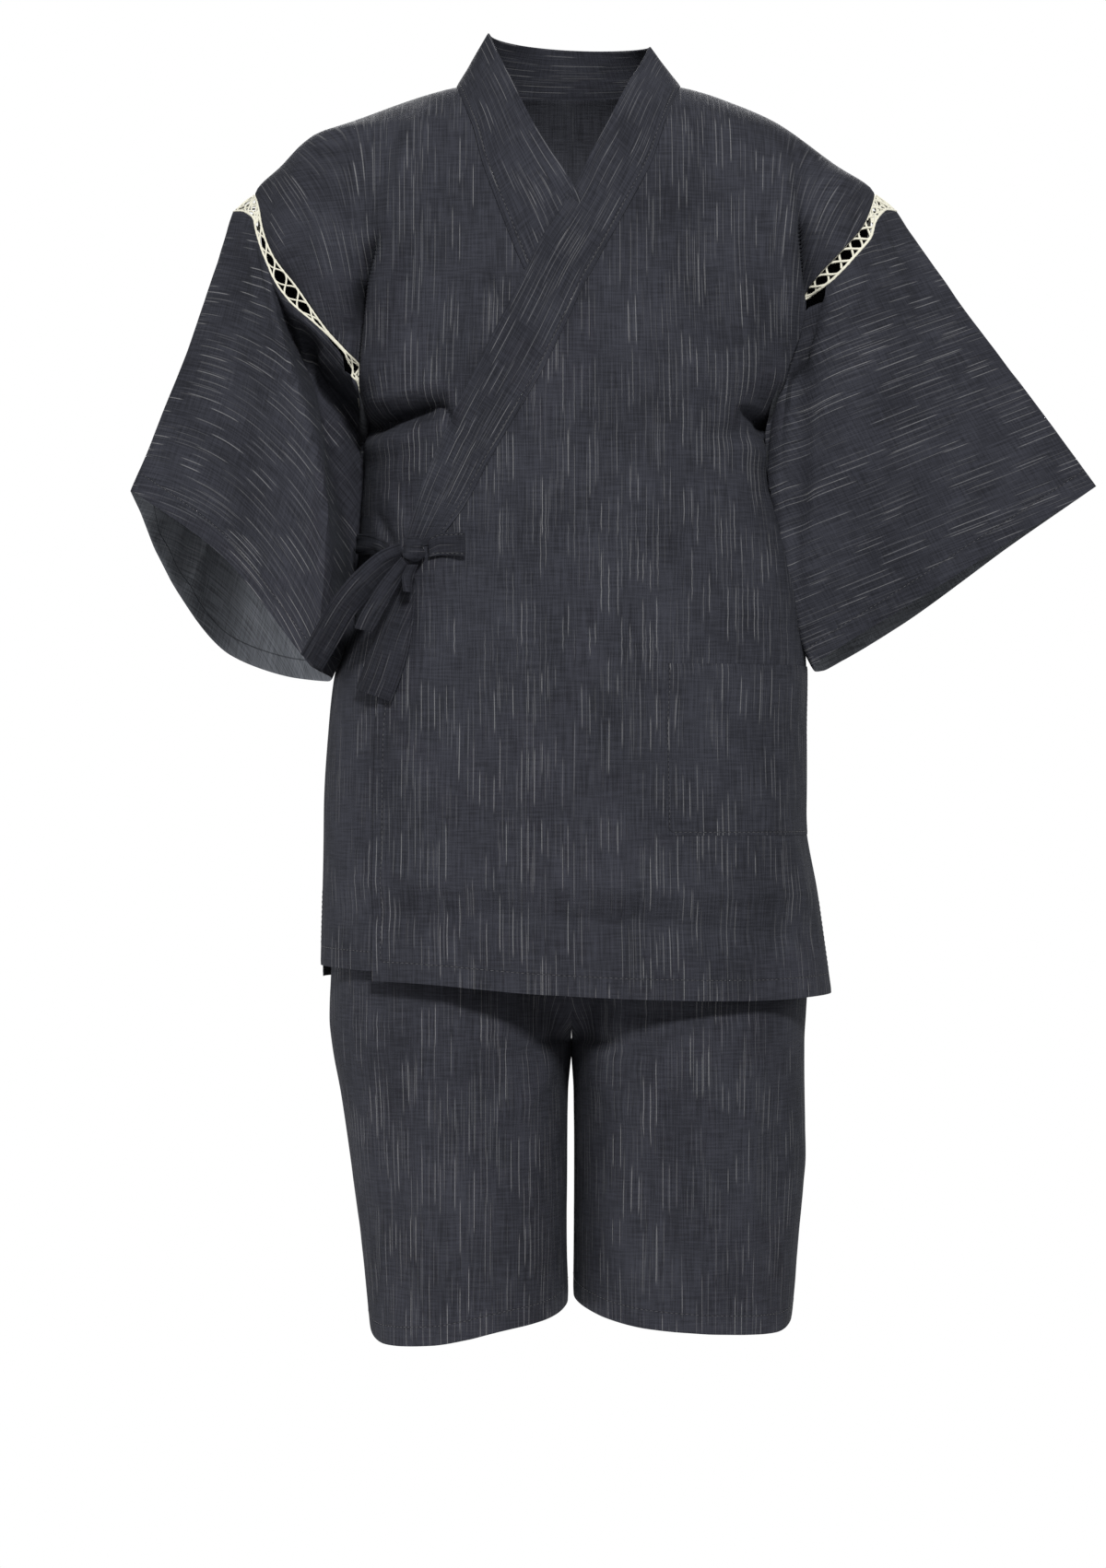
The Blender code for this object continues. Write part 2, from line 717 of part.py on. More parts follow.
def laid_strip(name, tab):
    """A tie end lying on the jacket between two edges."""
    rows = []
    for ax, az, bx, bz, out in zip(*(tab[k] for k in ("ax", "az", "bx", "bz", "out"))):
        share = np.linspace(0, 1, 4)
        rows.append(laid(ax + (bx - ax) * share, az + (bz - az) * share, out))
    return Sheet(name, np.array(rows))


def free_strip(name, tab):
    """A tie end hanging free between two edges."""
    a = np.stack([tab["ax"], tab["ay"], tab["az"]], -1)
    b = np.stack([tab["bx"], tab["by"], tab["bz"]], -1)
    middle = (a + b) / 2 + np.array([0, -2.0, 0])
    return Sheet(name, np.stack([a, middle, b], 1))


def knot_object(parent):
    """The knot: a soft lump, fuller at its middle."""
    rings, spokes = 7, 12
    points = [(KNOT["x"], KNOT["y"], KNOT["z"] + KNOT["half_z"])]
    for r in range(1, rings):
        fall = math.pi * r / rings
        for s in range(spokes):
            turn = 2 * math.pi * s / spokes
            points.append((
                KNOT["x"] + KNOT["half_x"] * math.sin(fall) ** 0.8 * math.cos(turn),
                KNOT["y"] + KNOT["half_y"] * math.sin(fall) ** 0.8 * math.sin(turn),
                KNOT["z"] + KNOT["half_z"] * math.cos(fall),
            ))
    points.append((KNOT["x"], KNOT["y"], KNOT["z"] - KNOT["half_z"]))
    faces = []
    last = len(points) - 1
    for s in range(spokes):
        n = (s + 1) % spokes
        faces.append((0, 1 + s, 1 + n))
        faces.append((last, last - spokes + n, last - spokes + s))
        for r in range(rings - 2):
            a, b = 1 + r * spokes + s, 1 + r * spokes + n
            faces.append((a, a + spokes, b + spokes))
            faces.append((a, b + spokes, b))
    return make_object("tie_knot", np.array(points, float), faces, parent, BAND_COTTON)


# ---------------------------------------------------------------------- set up

def clear_scene():
    for obj in list(bpy.data.objects):
        bpy.data.objects.remove(obj, do_unlink=True)


def empty(name):
    made = bpy.data.objects.new(name, None)
    bpy.context.scene.collection.objects.link(made)
    return made


def build_jacket(parent):
    left_front, right_front, back = left_front_sheet(), right_front_sheet(), back_sheet()
    collar = collar_sheet(left_front, right_front, back)
    pocket = pocket_sheet(left_front)
    cotton, lace = [left_front, right_front, back], []
    for side, front in (("left", left_front), ("right", right_front)):
        ring = armhole_ring(side, front, back)
        edge = sleeve_edge(side, ring)
        lace.append(lace_sheet(side, ring, edge))
        cotton.append(sleeve_sheet(side, edge))
    share_seams(cotton + lace + [collar])
    for sheet in cotton + [pocket]:
        build_wall(sheet, parent, COTTON)
    for sheet in lace:
        build_wall(sheet, parent, CROCHET)
    build_wall(collar, parent, BAND_COTTON)


def build_tie(parent):
    for name, tab in (("tie_strap_front", STRAP_FRONT), ("tie_strap_side", STRAP_SIDE),
                      ("tie_tail_right", TAIL_RIGHT)):
        build_wall(laid_strip(name, tab), parent, BAND_COTTON)
    for name, tab in (("tie_tail_left", TAIL_LEFT), ("tie_loop_side", LOOP_SIDE),
                      ("tie_loop_front", LOOP_FRONT)):
        build_wall(free_strip(name, tab), parent, BAND_COTTON)
    knot_object(parent)


def build_shorts(parent):
    legs = [leg_sheet(side, front) for side in ("right", "left") for front in (True, False)]
    share_seams(legs)
    for sheet in legs:
        build_wall(sheet, parent, COTTON)
    build_wall(waistband_sheet(), parent, BAND_COTTON)


clear_scene()
jacket, shorts = empty("jacket"), empty("shorts")
build_jacket(jacket)
build_tie(jacket)
build_shorts(shorts)
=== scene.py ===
"""Looks of the jinbei set: its cotton with kasuri dashes, crochet insertions, creases,
topstitching and tie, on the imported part's form.

Forms are in millimetres, in the part's frame: +X is the wearer's left, -Y the front and
+Z up, with the origin on the shoulder line. Each piece of cloth is a fine grid of points
with two coordinates along its weave, and becomes a thin closed wall.
"""
import math

import bpy
import numpy as np
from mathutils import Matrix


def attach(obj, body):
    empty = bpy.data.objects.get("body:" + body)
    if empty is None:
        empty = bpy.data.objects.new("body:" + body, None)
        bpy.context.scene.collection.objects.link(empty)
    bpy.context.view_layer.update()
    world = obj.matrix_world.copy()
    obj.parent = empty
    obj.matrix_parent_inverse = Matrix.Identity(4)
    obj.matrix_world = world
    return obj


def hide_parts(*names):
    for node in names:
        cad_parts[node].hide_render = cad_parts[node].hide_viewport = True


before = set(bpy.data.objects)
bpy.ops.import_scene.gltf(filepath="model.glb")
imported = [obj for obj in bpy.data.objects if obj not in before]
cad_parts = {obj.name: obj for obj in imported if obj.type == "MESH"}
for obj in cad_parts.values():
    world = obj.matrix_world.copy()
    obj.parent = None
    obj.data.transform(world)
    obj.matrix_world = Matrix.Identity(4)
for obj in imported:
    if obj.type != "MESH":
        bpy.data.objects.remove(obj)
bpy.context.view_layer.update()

MM = 0.001
CLOTH = 0.9           # one layer of crinkled cotton
FOLDED = 2.2          # the band and waistband, folded double
TIE = 1.5             # a tie, folded and pressed
LAYER = 4.6           # the over front lies this far outside the under front
SHOULDER_TIP = -92
ARMPIT = -290
SLIT_TOP = -690
JACKET_HEM = -774
COLLAR_END = -396.5
CROTCH = -818
SHORTS_WAIST = -513
SHORTS_HEM = -1060
WAISTBAND_TOP = -484
POCKET_TOP = -497
POCKET_FOOT = -640
POCKET_SHARE = 0.479  # how far across the front its inner edge is
POCKET_LIFT = 1.05    # its height above the front
POCKET_WEAVE = 61.0   # where its dashes are counted from
SLEEVE_CLEAR = 2.6    # the sleeves' distance from the body
THIGH = -700          # the shorts' rows are closer together below this height
CHEST = -110          # below this height the band lies flat on the body
CHEST_BLEND = 30
HALF_POWER = 2 / 2.2  # the shorts' rings are a little squarer than ellipses
NAN = float("nan")
HEM_STITCH = 17.0     # topstitching's distance from the edge of the jacket's hem and cuffs,
LEG_STITCH = 16.0     # the legs' hems,
SLIT_STITCH = 10.0    # the side slits,
EDGE_STITCH = 9.0     # the fronts' free edges,
TOPSTITCH = 2.6       # the band and the pocket
POCKET_HEM = 20.5
FAR = 300.0           # where no stitch is near
FOLD_GAIN = 1.3       # the body's folds stand this much prouder than their tables say
ARM_RUN = 40.0        # length round the arm for each of its places
SLEEVE_RUN = 285.0    # length from armhole to cuff
LEG_MIDDLE = 105.0    # where the dashes of the legs are counted from
THREAD_PITCH = 0.55   # of the weave


def table(names, rows):
    """Named columns from rows of numbers."""
    return dict(zip(names.split(), np.array(rows, float).T))


# ---- the part's own form

TORSO = table("z right left front back square", [
    (0, 96, 91, 40, 76, 2),
    (-9, 128, 122, 52, 82, 2.05),
    (-32, 191, 175, 80, 95, 2.1),
    (-43, 222, 192, 88, 99, 2.15),
    (-69, 249, 227, 96, 103, 2.17),
    (-92, 270, 259, 104, 107, 2.2),
    (-140, 276, 268, 111, 112, 2.3),
    (-190, 260, 252, 115, 114, 2.3),
    (-240, 225, 218, 118, 116, 2.35),
    (-290, 177, 172, 120, 117, 2.4),
    (-330, 177, 170, 121, 117, 2.4),
    (-363, 179, 179, 123, 117, 2.4),
    (-406, 181, 190, 126, 118, 2.4),
    (-454, 185, 198, 128, 119, 2.4),
    (-506, 203, 201, 130, 120, 2.4),
    (-557, 208, 200, 132, 121, 2.4),
    (-620, 212, 200, 133, 123, 2.4),
    (-690, 213, 211, 134, 126, 2.4),
    (-774, 214, 222, 135, 130, 2.4),
])
# Places round the armhole run from the shoulder tip (0) to the armpit (8).
ARMHOLE = table("place z right_front left_front right_back left_back", [
    (0, -92, 270, 259, 270, 259),
    (1, -105, 266, 254, 268, 257),
    (2, -125, 262, 244, 268, 257),
    (3, -150, 252, 223, 263, 251),
    (4, -180, 230, 200, 246, 236),
    (5, -215, 206, 191, 224, 215),
    (6, -250, 180, 178, 201, 193),
    (7, -275, 178, 173, 183, 177),
    (8, -290, 177, 172, 177, 172),
])
# The band's sewn edge and its free one, down each front.
BAND = table("z left_sewn left_x left_y left_z right_sewn right_x right_y right_z", [
    (0, 90.8, 66, -8, 33, -95.8, -70, -6, 45),
    (-20, 83.5, 58, -31, 15, -89.5, -62, -29, 24),
    (-43, 76, 48, -56, -4, -82, -51, -54, -1),
    (-76, 64.5, 31, -78, -39, -73, -35, -77, -36),
    (-105, 50, 16, -91, -68, -62.5, -19, -90, -64),
    (-125, 39, 5, -99, -92, -54.5, -6, -97, -84),
    (-150, 25, -9.5, NAN, -117, -44.5, 5, NAN, -104),
    (-180, 8.5, -26, NAN, -143, -31, 17, NAN, -143),
    (-215, -8, -45, NAN, -181, -15, 33, NAN, -183),
    (-250, -25, -63, NAN, -217, 1, 50, NAN, -221),
    (-290, -48, -85, NAN, -262, 24, 71, NAN, -264),
    (-330, -70, -105, NAN, -305, 46, 92, NAN, -306),
    (-363, -87, -121, NAN, -345, 63, 109, NAN, -341),
    (COLLAR_END, -109, -138, NAN, -403, 85, 128, NAN, -388),
])
FREE_EDGE = table("z left right", [
    (-396.5, -137, 113),
    (-404, -138, 114),
    (-454, -149, 126),
    (-506, -156.5, 133),
    (-557, -162, 138),
    (-620, -163.5, 139),
    (-774, -164, 140),
])
HEM = table("x left right back", [
    (-220, -762, -751, -762),
    (-164, -762, -754, -764),
    (-21, -772, -760, -768),
    (92, -777, -762, -768),
    (151, -778, -762, -770),
    (223, -775, -762, -772),
])
NECK = dict(half_x=68, x=-2, half_y=73, y=-7, z=33, rise=12, arch=3)
CUFF = table("place right_x right_y right_z left_x left_y left_z", [
    (0, -380, 15, -343, 453, 15, -340),
    (2, -296, -48, -404, 328, -25, -419),
    (4, -218, -82, -499, 205, -46, -497),
    (6, -204, -46, -507, 209, -18, -501),
    (8, -208, 6, -509, 216, 10, -500),
    (10, -240, 62, -505, 236, 38, -490),
    (12, -299, 88, -484, 290, 60, -457),
    (14, -346, 60, -425, 380, 44, -391),
    (16, -380, 15, -343, 453, 15, -340),
])
PUSH = table("place right_x right_y right_z left_x left_y left_z", [
    (0, 6, 0, 5, 0, 0, 0),
    (2, 10, -10, 4, 0, -10, 2),
    (3, 14, -20, 2, -4, -16, 1),
    (4, 22, -27, 0, -12, -14, 0),
    (5, 26, -4, 0, -34, -8, 0),
    (6, 24, 2, 0, -34, -4, 0),
    (7, 12, 8, 0, -18, 4, 0),
    (8, 6, 3, 0, -4, 14, 0),
    (10, -4, 8, 0, -6, 22, 0),
    (12, -8, 12, 0, 0, 12, 0),
    (14, 0, 10, 4, 0, 8, 2),
    (16, 6, 0, 5, 0, 0, 0),
])
# The insertion's width by height: drawn in and twisted in places, and folded under.
LACE = table("z right left back", [
    (-92, 25, 25, 25),
    (-101, 15, 14, 22),
    (-115, 8, 10.5, 19),
    (-130, 8, 14, 17),
    (-150, 9, 14.7, 15.5),
    (-163, 12.5, 15, 15),
    (-174, 14.5, 12, 14.5),
    (-183, 14, 7, 14),
    (-191, 12, 1.2, 13.5),
    (-208, 6, 0.6, 13),
    (-221, 3.4, 0.5, 12),
    (-232, 3.4, 0.5, 11),
    (-240, 8, 0.5, 10.5),
    (-249, 9, 0.5, 9.5),
    (-257, 3, 0.5, 8),
    (-266, 0.7, 0.5, 6),
    (-290, 0.5, 0.5, 0.6),
])
HIPS = table("z right left front back", [
    (-513, 166, 166, 110, 104),
    (-600, 186, 185, 115, 108),
    (-700, 200, 198, 116, 110),
    (-818, 207, 202, 115, 112),
])
LEGS = table("z right_out right_in left_out left_in front back", [
    (-513, 166, 0, 166, 0, 104, 100),
    (-600, 186, 0, 185, 0, 104, 100),
    (-700, 200, 0, 198, 0, 105, 102),
    (-754, 205, 0, 202, 0, 107, 105),
    (-797, 207, 0, 200, 0, 109, 108),
    (-818, 205, 0, 199, 0, 109, 110),
    (-862, 197, 3.6, 199, 2.4, 108, 111),
    (-909, 190, 4, 199, 2.6, 107, 110),
    (-988, 179, 4.5, 194, 2.4, 105, 108),
    (-1060, 172, 3.5, 188, 2, 104, 106),
])
LEG_HEM = table("place right left back", [
    (0, -1061, -1051, -1056),
    (0.2, -1070, -1060, -1060),
    (0.4, -1067, -1058, -1058),
    (0.6, -1055, -1053, -1052),
    (0.8, -1047, -1043, -1043),
    (1, -1035, -1031, -1033),
])
STRAP_FRONT = table("ax az bx bz out", [
    (-87, -388, -86, -408, 8.4),
    (-105, -388, -104, -407, 8.8),
    (-114.5, -392, -114.5, -408, 10),
])
STRAP_SIDE = table("ax az bx bz out", [
    (-178, -384, -179, -401, 3.4),
    (-175, -385, -175.5, -402, 3.6),
    (-170, -386, -170.5, -403, 4),
    (-163, -388, -163, -404, 5),
    (-154, -392, -154, -407, 9),
    (-145, -396, -145, -408, 13),
])
TAIL_RIGHT = table("ax az bx bz out", [
    (-138, -417, -127, -417, 10),
    (-146, -438, -126, -440, 10),
    (-157, -468, -130, -476, 10),
    (-166, -494, -137, -504, 10),
    (-174, -517, -145, -529, 10.5),
])
TAIL_LEFT = table("ax ay az bx by bz", [
    (-143, -109, -396, -141, -107, -408),
    (-158, -114, -402, -149, -107, -416),
    (-179, -119, -419, -164, -109, -435),
    (-199, -121, -443, -181, -109, -456),
    (-214, -119, -468, -195, -107, -480),
    (-226, -116, -489, -209, -104, -503),
])
LOOP_SIDE = table("ax ay az bx by bz", [
    (-142, -118, -408, -136, -119, -415.5),
    (-161, -122, -432, -148, -122, -438),
    (-176, -120, -456, -160, -119, -460),
    (-181, -115, -467, -166, -115, -470),
    (-177, -110.5, -457, -161, -110.5, -461),
    (-168, -110.5, -443, -154, -110.5, -448),
])
LOOP_FRONT = table("ax ay az bx by bz", [
    (-137, -125, -415, -128, -125, -415),
    (-141, -126, -426, -132, -126, -427),
    (-140, -124, -437, -133, -124, -438),
])
KNOT = dict(x=-132, y=-117, z=-402, half_x=9.5, half_y=7.5, half_z=10.5)

# Each piece's cut: width across the threads, length along them, in metres, and its area
# in square metres where it isn't a rectangle.
LEG_CUT = (0.32, 0.57, 0.155)
CUTS = {
    "left_front": (0.44, 0.83, 0.275),
    "right_front": (0.42, 0.83, 0.252),
    "back": (0.62, 0.84, 0.415),
    "collar": (0.055, 1.26, None),
    "sleeve_left": (0.30, 0.70, 0.160),
    "sleeve_right": (0.27, 0.68, 0.140),
    "pocket": (0.20, 0.145, None),
    "shorts_right_front": LEG_CUT,
    "shorts_right_back": LEG_CUT,
    "shorts_left_front": LEG_CUT,
    "shorts_left_back": LEG_CUT,
    "waistband": (0.03, 0.92, None),
    "tie_strap_front": (0.02, 0.03, None),
    "tie_strap_side": (0.02, 0.07, None),
    "tie_tail_right": (0.035, 0.11, None),
    "tie_tail_left": (0.025, 0.136, None),
    "tie_loop_side": (0.017, 0.10, None),
    "tie_loop_front": (0.012, 0.024, None),
}

# ---- creases
# Each runs from a to b, bowed to one side, thin at both ends. A negative height is a
# trough. lean makes one flank steeper than the other. Largest folds first.

FOLD_COLUMNS = "ap aq bp bq bow height width lean"
FRONT_FOLDS = table(FOLD_COLUMNS, [
    (-118, -40, -172, -205, 0, 6, 17, 0),
    (-92, -120, -118, -262, 0, -3.5, 22, 0),
    (-152, -132, -184, -230, 0, -6, 12, 0),
    (-178, -296, -108, -277, 0, -6, 10, 0),
    (128, -150, 150, -282, 0, 4, 24, 0),
    (172, -296, 112, -306, 0, -5, 9, 0),
    (60, -330, 96, -480, 0, 3, 30, 0),
    (-60, -430, -128, -412, 0, 3, 9, 0),
    # the wearer's right chest and armpit
    (-161, -136, -181, -208, -2, -14, 3.9, -0.3),
    (-178, -178, -184, -264, 0, -14, 4.4, -0.3),
    (-172, -146, -194, -232, -2, -8, 11, -0.3),
    (-148, -138, -168, -280, -3, 4.6, 9, -0.2),
    (-132, -30, -164, -160, 2, 3.6, 8, -0.3),
    (-226, -96, -196, -200, 4, 3.4, 11, 0),
    (-186, -297, -106, -275, -3, -13, 6.2, -0.45),
    (-112, -276, -97, -302, 1, -8, 4.6, 0.2),
    (-178, -282, -104, -260, 2, 3.4, 8, 0),
    (-180, -313, -96, -300, 2, 2.6, 8, 0.2),
    (-176, -330, -130, -322, 2, -1.8, 5, 0),
    (-72, -170, -58, -204, 1, -2.6, 4.2, 0.2),
    (-128, -18, -166, -142, 3, 2.4, 6.5, 0.3),
    (-196, -52, -236, -150, 6, -2.6, 12, 0.2),
    (-226, -60, -256, -160, -3, 1.8, 9, 0),
    (-112, -20, -118, -120, -4, -1.6, 10, 0.3),
    # the wearer's left chest
    (66, -40, 42, -206, 4, -2.6, 11, 0.3),
    (86, -48, 66, -222, 3, 1.8, 10, 0),
    (116, -26, 106, -206, -5, -2.8, 12, 0.25),
    (107, -190, 136, -290, 4, -2.4, 10, -0.2),
    (140, -30, 138, -200, 4, 1.6, 12, 0),
    (191, -116, 202, -212, -1, -14, 3.9, 0.3),
    (196, -56, 209, -206, -2, -7, 12, 0.3),
    (186, -56, 198, -180, -2, -3.6, 7, 0.3),
    (174, -84, 184, -240, -3, 4, 9, -0.2),
    (180, -96, 172, -280, 3, 2.8, 9, -0.2),
    (222, -70, 214, -160, 5, 2.2, 10, 0.2),
    (184, -308, 138, -283, -4, -10, 5.4, 0.4),
    (176, -330, 130, -312, -4, 3, 9, 0),
    (168, -352, 96, -338, 5, -1.6, 9, 0.3),
    # drawn towards the tie
    (-52, -270, 2, -450, 10, -2.4, 20, 0.2),
    (-24, -300, 40, -470, 8, 1.8, 18, 0),
    (150, -330, -58, -436, 12, 1.6, 15, 0.3),
    (120, -372, -52, -452, 8, -1.5, 12, 0.2),
    (-102, -404, -40, -428, 3, 1.8, 5.5, 0.3),
    (-100, -412, -30, -452, 4, -1.9, 6, 0.2),
    (-106, -420, -48, -488, 5, 1.7, 7, 0),
    (-166, -368, -149, -402, 1, -2.8, 4.6, 0.2),
    (-156, -352, -136, -388, 1, 1.8, 6, 0),
    # the skirt of the jacket
    (-62, -500, -38, -664, 8, -2.6, 24, 0),
    (150, -508, 166, -686, -6, 2.8, 24, 0),
    (70, -520, 84, -700, 6, -2, 22, 0.2),
    (14, -560, 22, -760, 5, 2.2, 26, 0),
    (-126, -540, -132, -700, 4, 2.2, 16, 0),
    (-96, -700, -100, -770, 3, -1.8, 12, 0),
    (120, -700, 128, -776, 3, -1.8, 12, 0),
    (48, -704, 52, -776, -2, 1.6, 13, 0),
    (112, -463, 194, -468, 2, -1.5, 4.2, 0.3),
    (182, -610, 205, -700, 3, -2.4, 9, 0.2),
    # where it was folded for storage
    (-172, -672, 20, -689, 0, -1.3, 2.6, 0.5),
    (-20, -689, 205, -699, 0, -1.3, 2.6, 0.5),
    (-190, -674, 215, -694, 0, 4.4, 10, 0.45),
    (-190, -704, 110, -712, 0, -6, 11, 0),
    (-20, -716, 215, -724, 0, -3.6, 11, 0),
])
BACK_FOLDS = table(FOLD_COLUMNS, [
    (-150, -200, -60, -330, 0, 4, 24, 0),
    (150, -200, 70, -330, 0, 4, 24, 0),
    (0, -420, 10, -700, 0, 3, 34, 0),
    (-176, -292, -96, -278, 4, -5, 5.5, 0.3),
    (170, -298, 92, -280, -4, -5, 5.5, 0.3),
    (-168, -318, -80, -300, 5, 2.6, 9, 0),
    (166, -322, 78, -304, -5, 2.6, 9, 0),
    (-196, -70, -206, -236, -6, -4, 8, 0.3),
    (190, -66, 200, -230, 6, -4, 8, 0.3),
    (-172, -96, -176, -262, -4, 2.4, 10, 0),
    (166, -90, 170, -258, 4, 2.4, 10, 0),
    (-104, -60, -84, -300, 8, -2.4, 15, 0.2),
    (96, -56, 80, -280, -8, -2.2, 15, 0.2),
    (-46, -90, -38, -340, 5, 2, 20, 0),
    (40, -120, 36, -360, -5, 1.8, 20, 0),
    (-150, -330, 30, -452, 14, -1.8, 13, 0.2),
    (148, -338, -20, -470, -12, 1.8, 14, 0),
    (-120, -400, 60, -520, 10, 1.6, 15, 0),
    (-110, -470, -124, -760, 8, -2.8, 20, 0),
    (-60, -500, -58, -740, 6, 2.2, 22, 0),
    (84, -480, 96, -760, -8, -2.6, 20, 0),
    (140, -500, 152, -740, -6, 2.4, 20, 0),
    (-160, -520, -176, -760, 4, 2.4, 18, 0),
    (46, -560, 52, -770, 4, 1.8, 18, 0),
    (-205, -676, 0, -688, 0, -1.1, 2.6, 0.5),
    (-30, -688, 210, -684, 0, -1.1, 2.6, 0.5),
    (-200, -671, 205, -681, 0, 0.9, 5, 0),
])
SHORTS_FRONT_FOLDS = table(FOLD_COLUMNS, [
    (-178, -806, -34, -809, 1, -1.3, 2.8, 0.5),
    (-178, -800, -40, -803, 1, 1, 6, 0),
    (-6, -806, -58, -826, 3, -3, 7, 0.3),
    (8, -806, 74, -828, -3, -3, 8, 0.3),
    (-12, -830, -64, -880, 4, 2, 9, 0),
    (14, -832, 70, -890, -4, 2.2, 10, 0),
    (30, -790, 160, -792, 1, -2.2, 6, 0.3),
    (-124, -815, -106, -1050, 7, 2.4, 17, 0),
    (-66, -840, -74, -1040, 5, -2.6, 15, 0.2),
    (-160, -830, -146, -1040, 4, -2, 12, 0),
    (-34, -860, -36, -1030, 3, 1.6, 12, 0),
    (64, -836, 82, -1040, -6, -2.8, 16, 0.2),
    (110, -830, 118, -1050, 4, 2, 15, 0),
    (146, -800, 156, -1046, -4, 2.4, 17, 0),
    (34, -870, 40, -1030, 3, 1.8, 12, 0),
    (172, -850, 168, -1040, -3, -1.8, 10, 0),
])
SHORTS_BACK_FOLDS = table(FOLD_COLUMNS, [
    (-8, -800, -84, -842, 5, -3.4, 9, 0.3),
    (8, -800, 86, -844, -5, -3.4, 9, 0.3),
    (-16, -826, -92, -876, 5, 2.6, 11, 0),
    (16, -826, 94, -878, -5, 2.6, 11, 0),
    (-20, -850, -70, -930, 5, -2, 10, 0),
    (20, -850, 74, -930, -5, -2, 10, 0),
    (-130, -800, -120, -1044, 6, 2.4, 18, 0),
    (-84, -880, -86, -1040, 5, -2.6, 15, 0),
    (84, -880, 92, -1040, -5, -2.6, 15, 0),
    (134, -800, 140, -1040, -6, 2.4, 18, 0),
    (-160, -820, -36, -818, 1, -1.1, 2.8, 0.5),
    (40, -816, 176, -818, 1, -1.1, 2.8, 0.5),
])
# On the sleeves p runs round the arm from the top crease (front +), q from armhole to cuff.
SLEEVE_RIGHT_FOLDS = table(FOLD_COLUMNS, [
    (158, 10, 160, 280, 0, 3.4, 7, 0.35),
    (176, 0, 182, 180, 5, -5, 13, 0.2),
    (52, 12, 96, 80, 4, 1.4, 9, 0),
    (84, 6, 118, 92, 4, -1.8, 10, 0.3),
    (20, 8, 30, 60, 2, -1.2, 7, 0),
    (8, 180, 62, 236, 5, -1.4, 9, 0.2),
    (10, 246, 36, 268, 2, -2.6, 6, 0.3),
    (24, 228, 64, 262, 3, 1.6, 8, 0),
    (100, 120, 120, 268, -5, 1.8, 20, 0),
    (60, 120, 70, 262, 4, -1.6, 20, 0),
    (226, 40, 232, 260, 5, 3, 14, 0),
    (270, 10, 262, 240, 4, -3.2, 14, 0.2),
    (-34, 176, -18, 284, 3, -6, 9, 0.3),
    (-60, 168, -46, 284, 3, 4.5, 9, 0),
    (-122, 150, -96, 276, 4, -4.5, 8, 0.3),
    (-100, 176, -78, 276, 3, 3.4, 8, 0),
    (-40, 10, -64, 150, 4, -2.4, 12, 0.2),
    (-160, 10, -170, 260, 6, 3, 18, 0),
    (-210, 20, -216, 260, 4, -3.4, 16, 0.2),
    (-90, 20, -110, 150, 5, 2.2, 14, 0),
])
SLEEVE_LEFT_FOLDS = table(FOLD_COLUMNS, [
    (40, 4, 44, 96, 2, -2.2, 6, 0.3),
    (54, 6, 60, 84, 2, 1.6, 7, 0),
    (150, 50, 168, 190, 6, -6, 22, 0.1),
    (116, 60, 122, 250, 5, 3, 24, 0),
    (100, 22, 128, 60, 2, -1.6, 5, 0.2),
    (112, 20, 140, 74, 3, 1.4, 6, 0),
    (128, 16, 152, 66, 2, -1.5, 5, 0.2),
    (14, 60, 60, 200, 7, -1.6, 16, 0.2),
    (60, 160, 84, 280, 5, -1.6, 16, 0),
    (30, 200, 40, 284, 3, 1.4, 14, 0),
    (180, 140, 186, 286, 4, 2.6, 14, 0),
    (216, 40, 224, 260, 5, -3.2, 14, 0.2),
    (-44, 8, -60, 130, 4, -2.6, 10, 0.2),
    (-110, 10, -120, 270, 6, 3, 20, 0),
    (-160, 20, -170, 260, 5, -3.2, 16, 0.2),
    (-76, 120, -80, 276, 4, -2.2, 16, 0),
    (-220, 30, -214, 260, 4, 2.8, 14, 0),
])


def smooth_at(xs, ys, x):
    """A smooth curve through a table's points that never overshoots them."""
    order = np.argsort(xs)
    xs, ys = np.asarray(xs)[order], np.asarray(ys)[order]
    steps = np.diff(xs)
    grades = np.diff(ys) / steps
    slopes = np.zeros(len(xs))
    slopes[0], slopes[-1] = grades[0], grades[-1]
    left, right = grades[:-1], grades[1:]
    both = left * right > 0
    slopes[1:-1][both] = 2 * left[both] * right[both] / (left[both] + right[both])
    x = np.clip(x, xs[0], xs[-1])
    k = np.clip(np.searchsorted(xs, x, side="right") - 1, 0, len(steps) - 1)
    t = (x - xs[k]) / steps[k]
    rise = ys[k] * (1 + 2 * t) * (1 - t) ** 2 + ys[k + 1] * t * t * (3 - 2 * t)
    return rise + steps[k] * (slopes[k] * t * (1 - t) ** 2 - slopes[k + 1] * t * t * (1 - t))


def column(tab, name, where, key="z"):
    return smooth_at(tab[key], tab[name], where)


def ease(t):
    t = np.clip(t, 0.0, 1.0)
    return t * t * (3 - 2 * t)


def unit(v):
    return v / np.maximum(np.linalg.norm(v, axis=-1, keepdims=True), 1e-9)


def signed_power(v, power=HALF_POWER):
    return np.sign(v) * np.abs(v) ** power


def run_length(points, axis):
    """Length along a grid's rows (axis 1) or columns (axis 0), from its first point."""
    steps = np.linalg.norm(np.diff(points, axis=axis), axis=-1)
    start = np.zeros_like(np.take(steps, [0], axis=axis))
    return np.concatenate([start, np.cumsum(steps, axis=axis)], axis=axis)


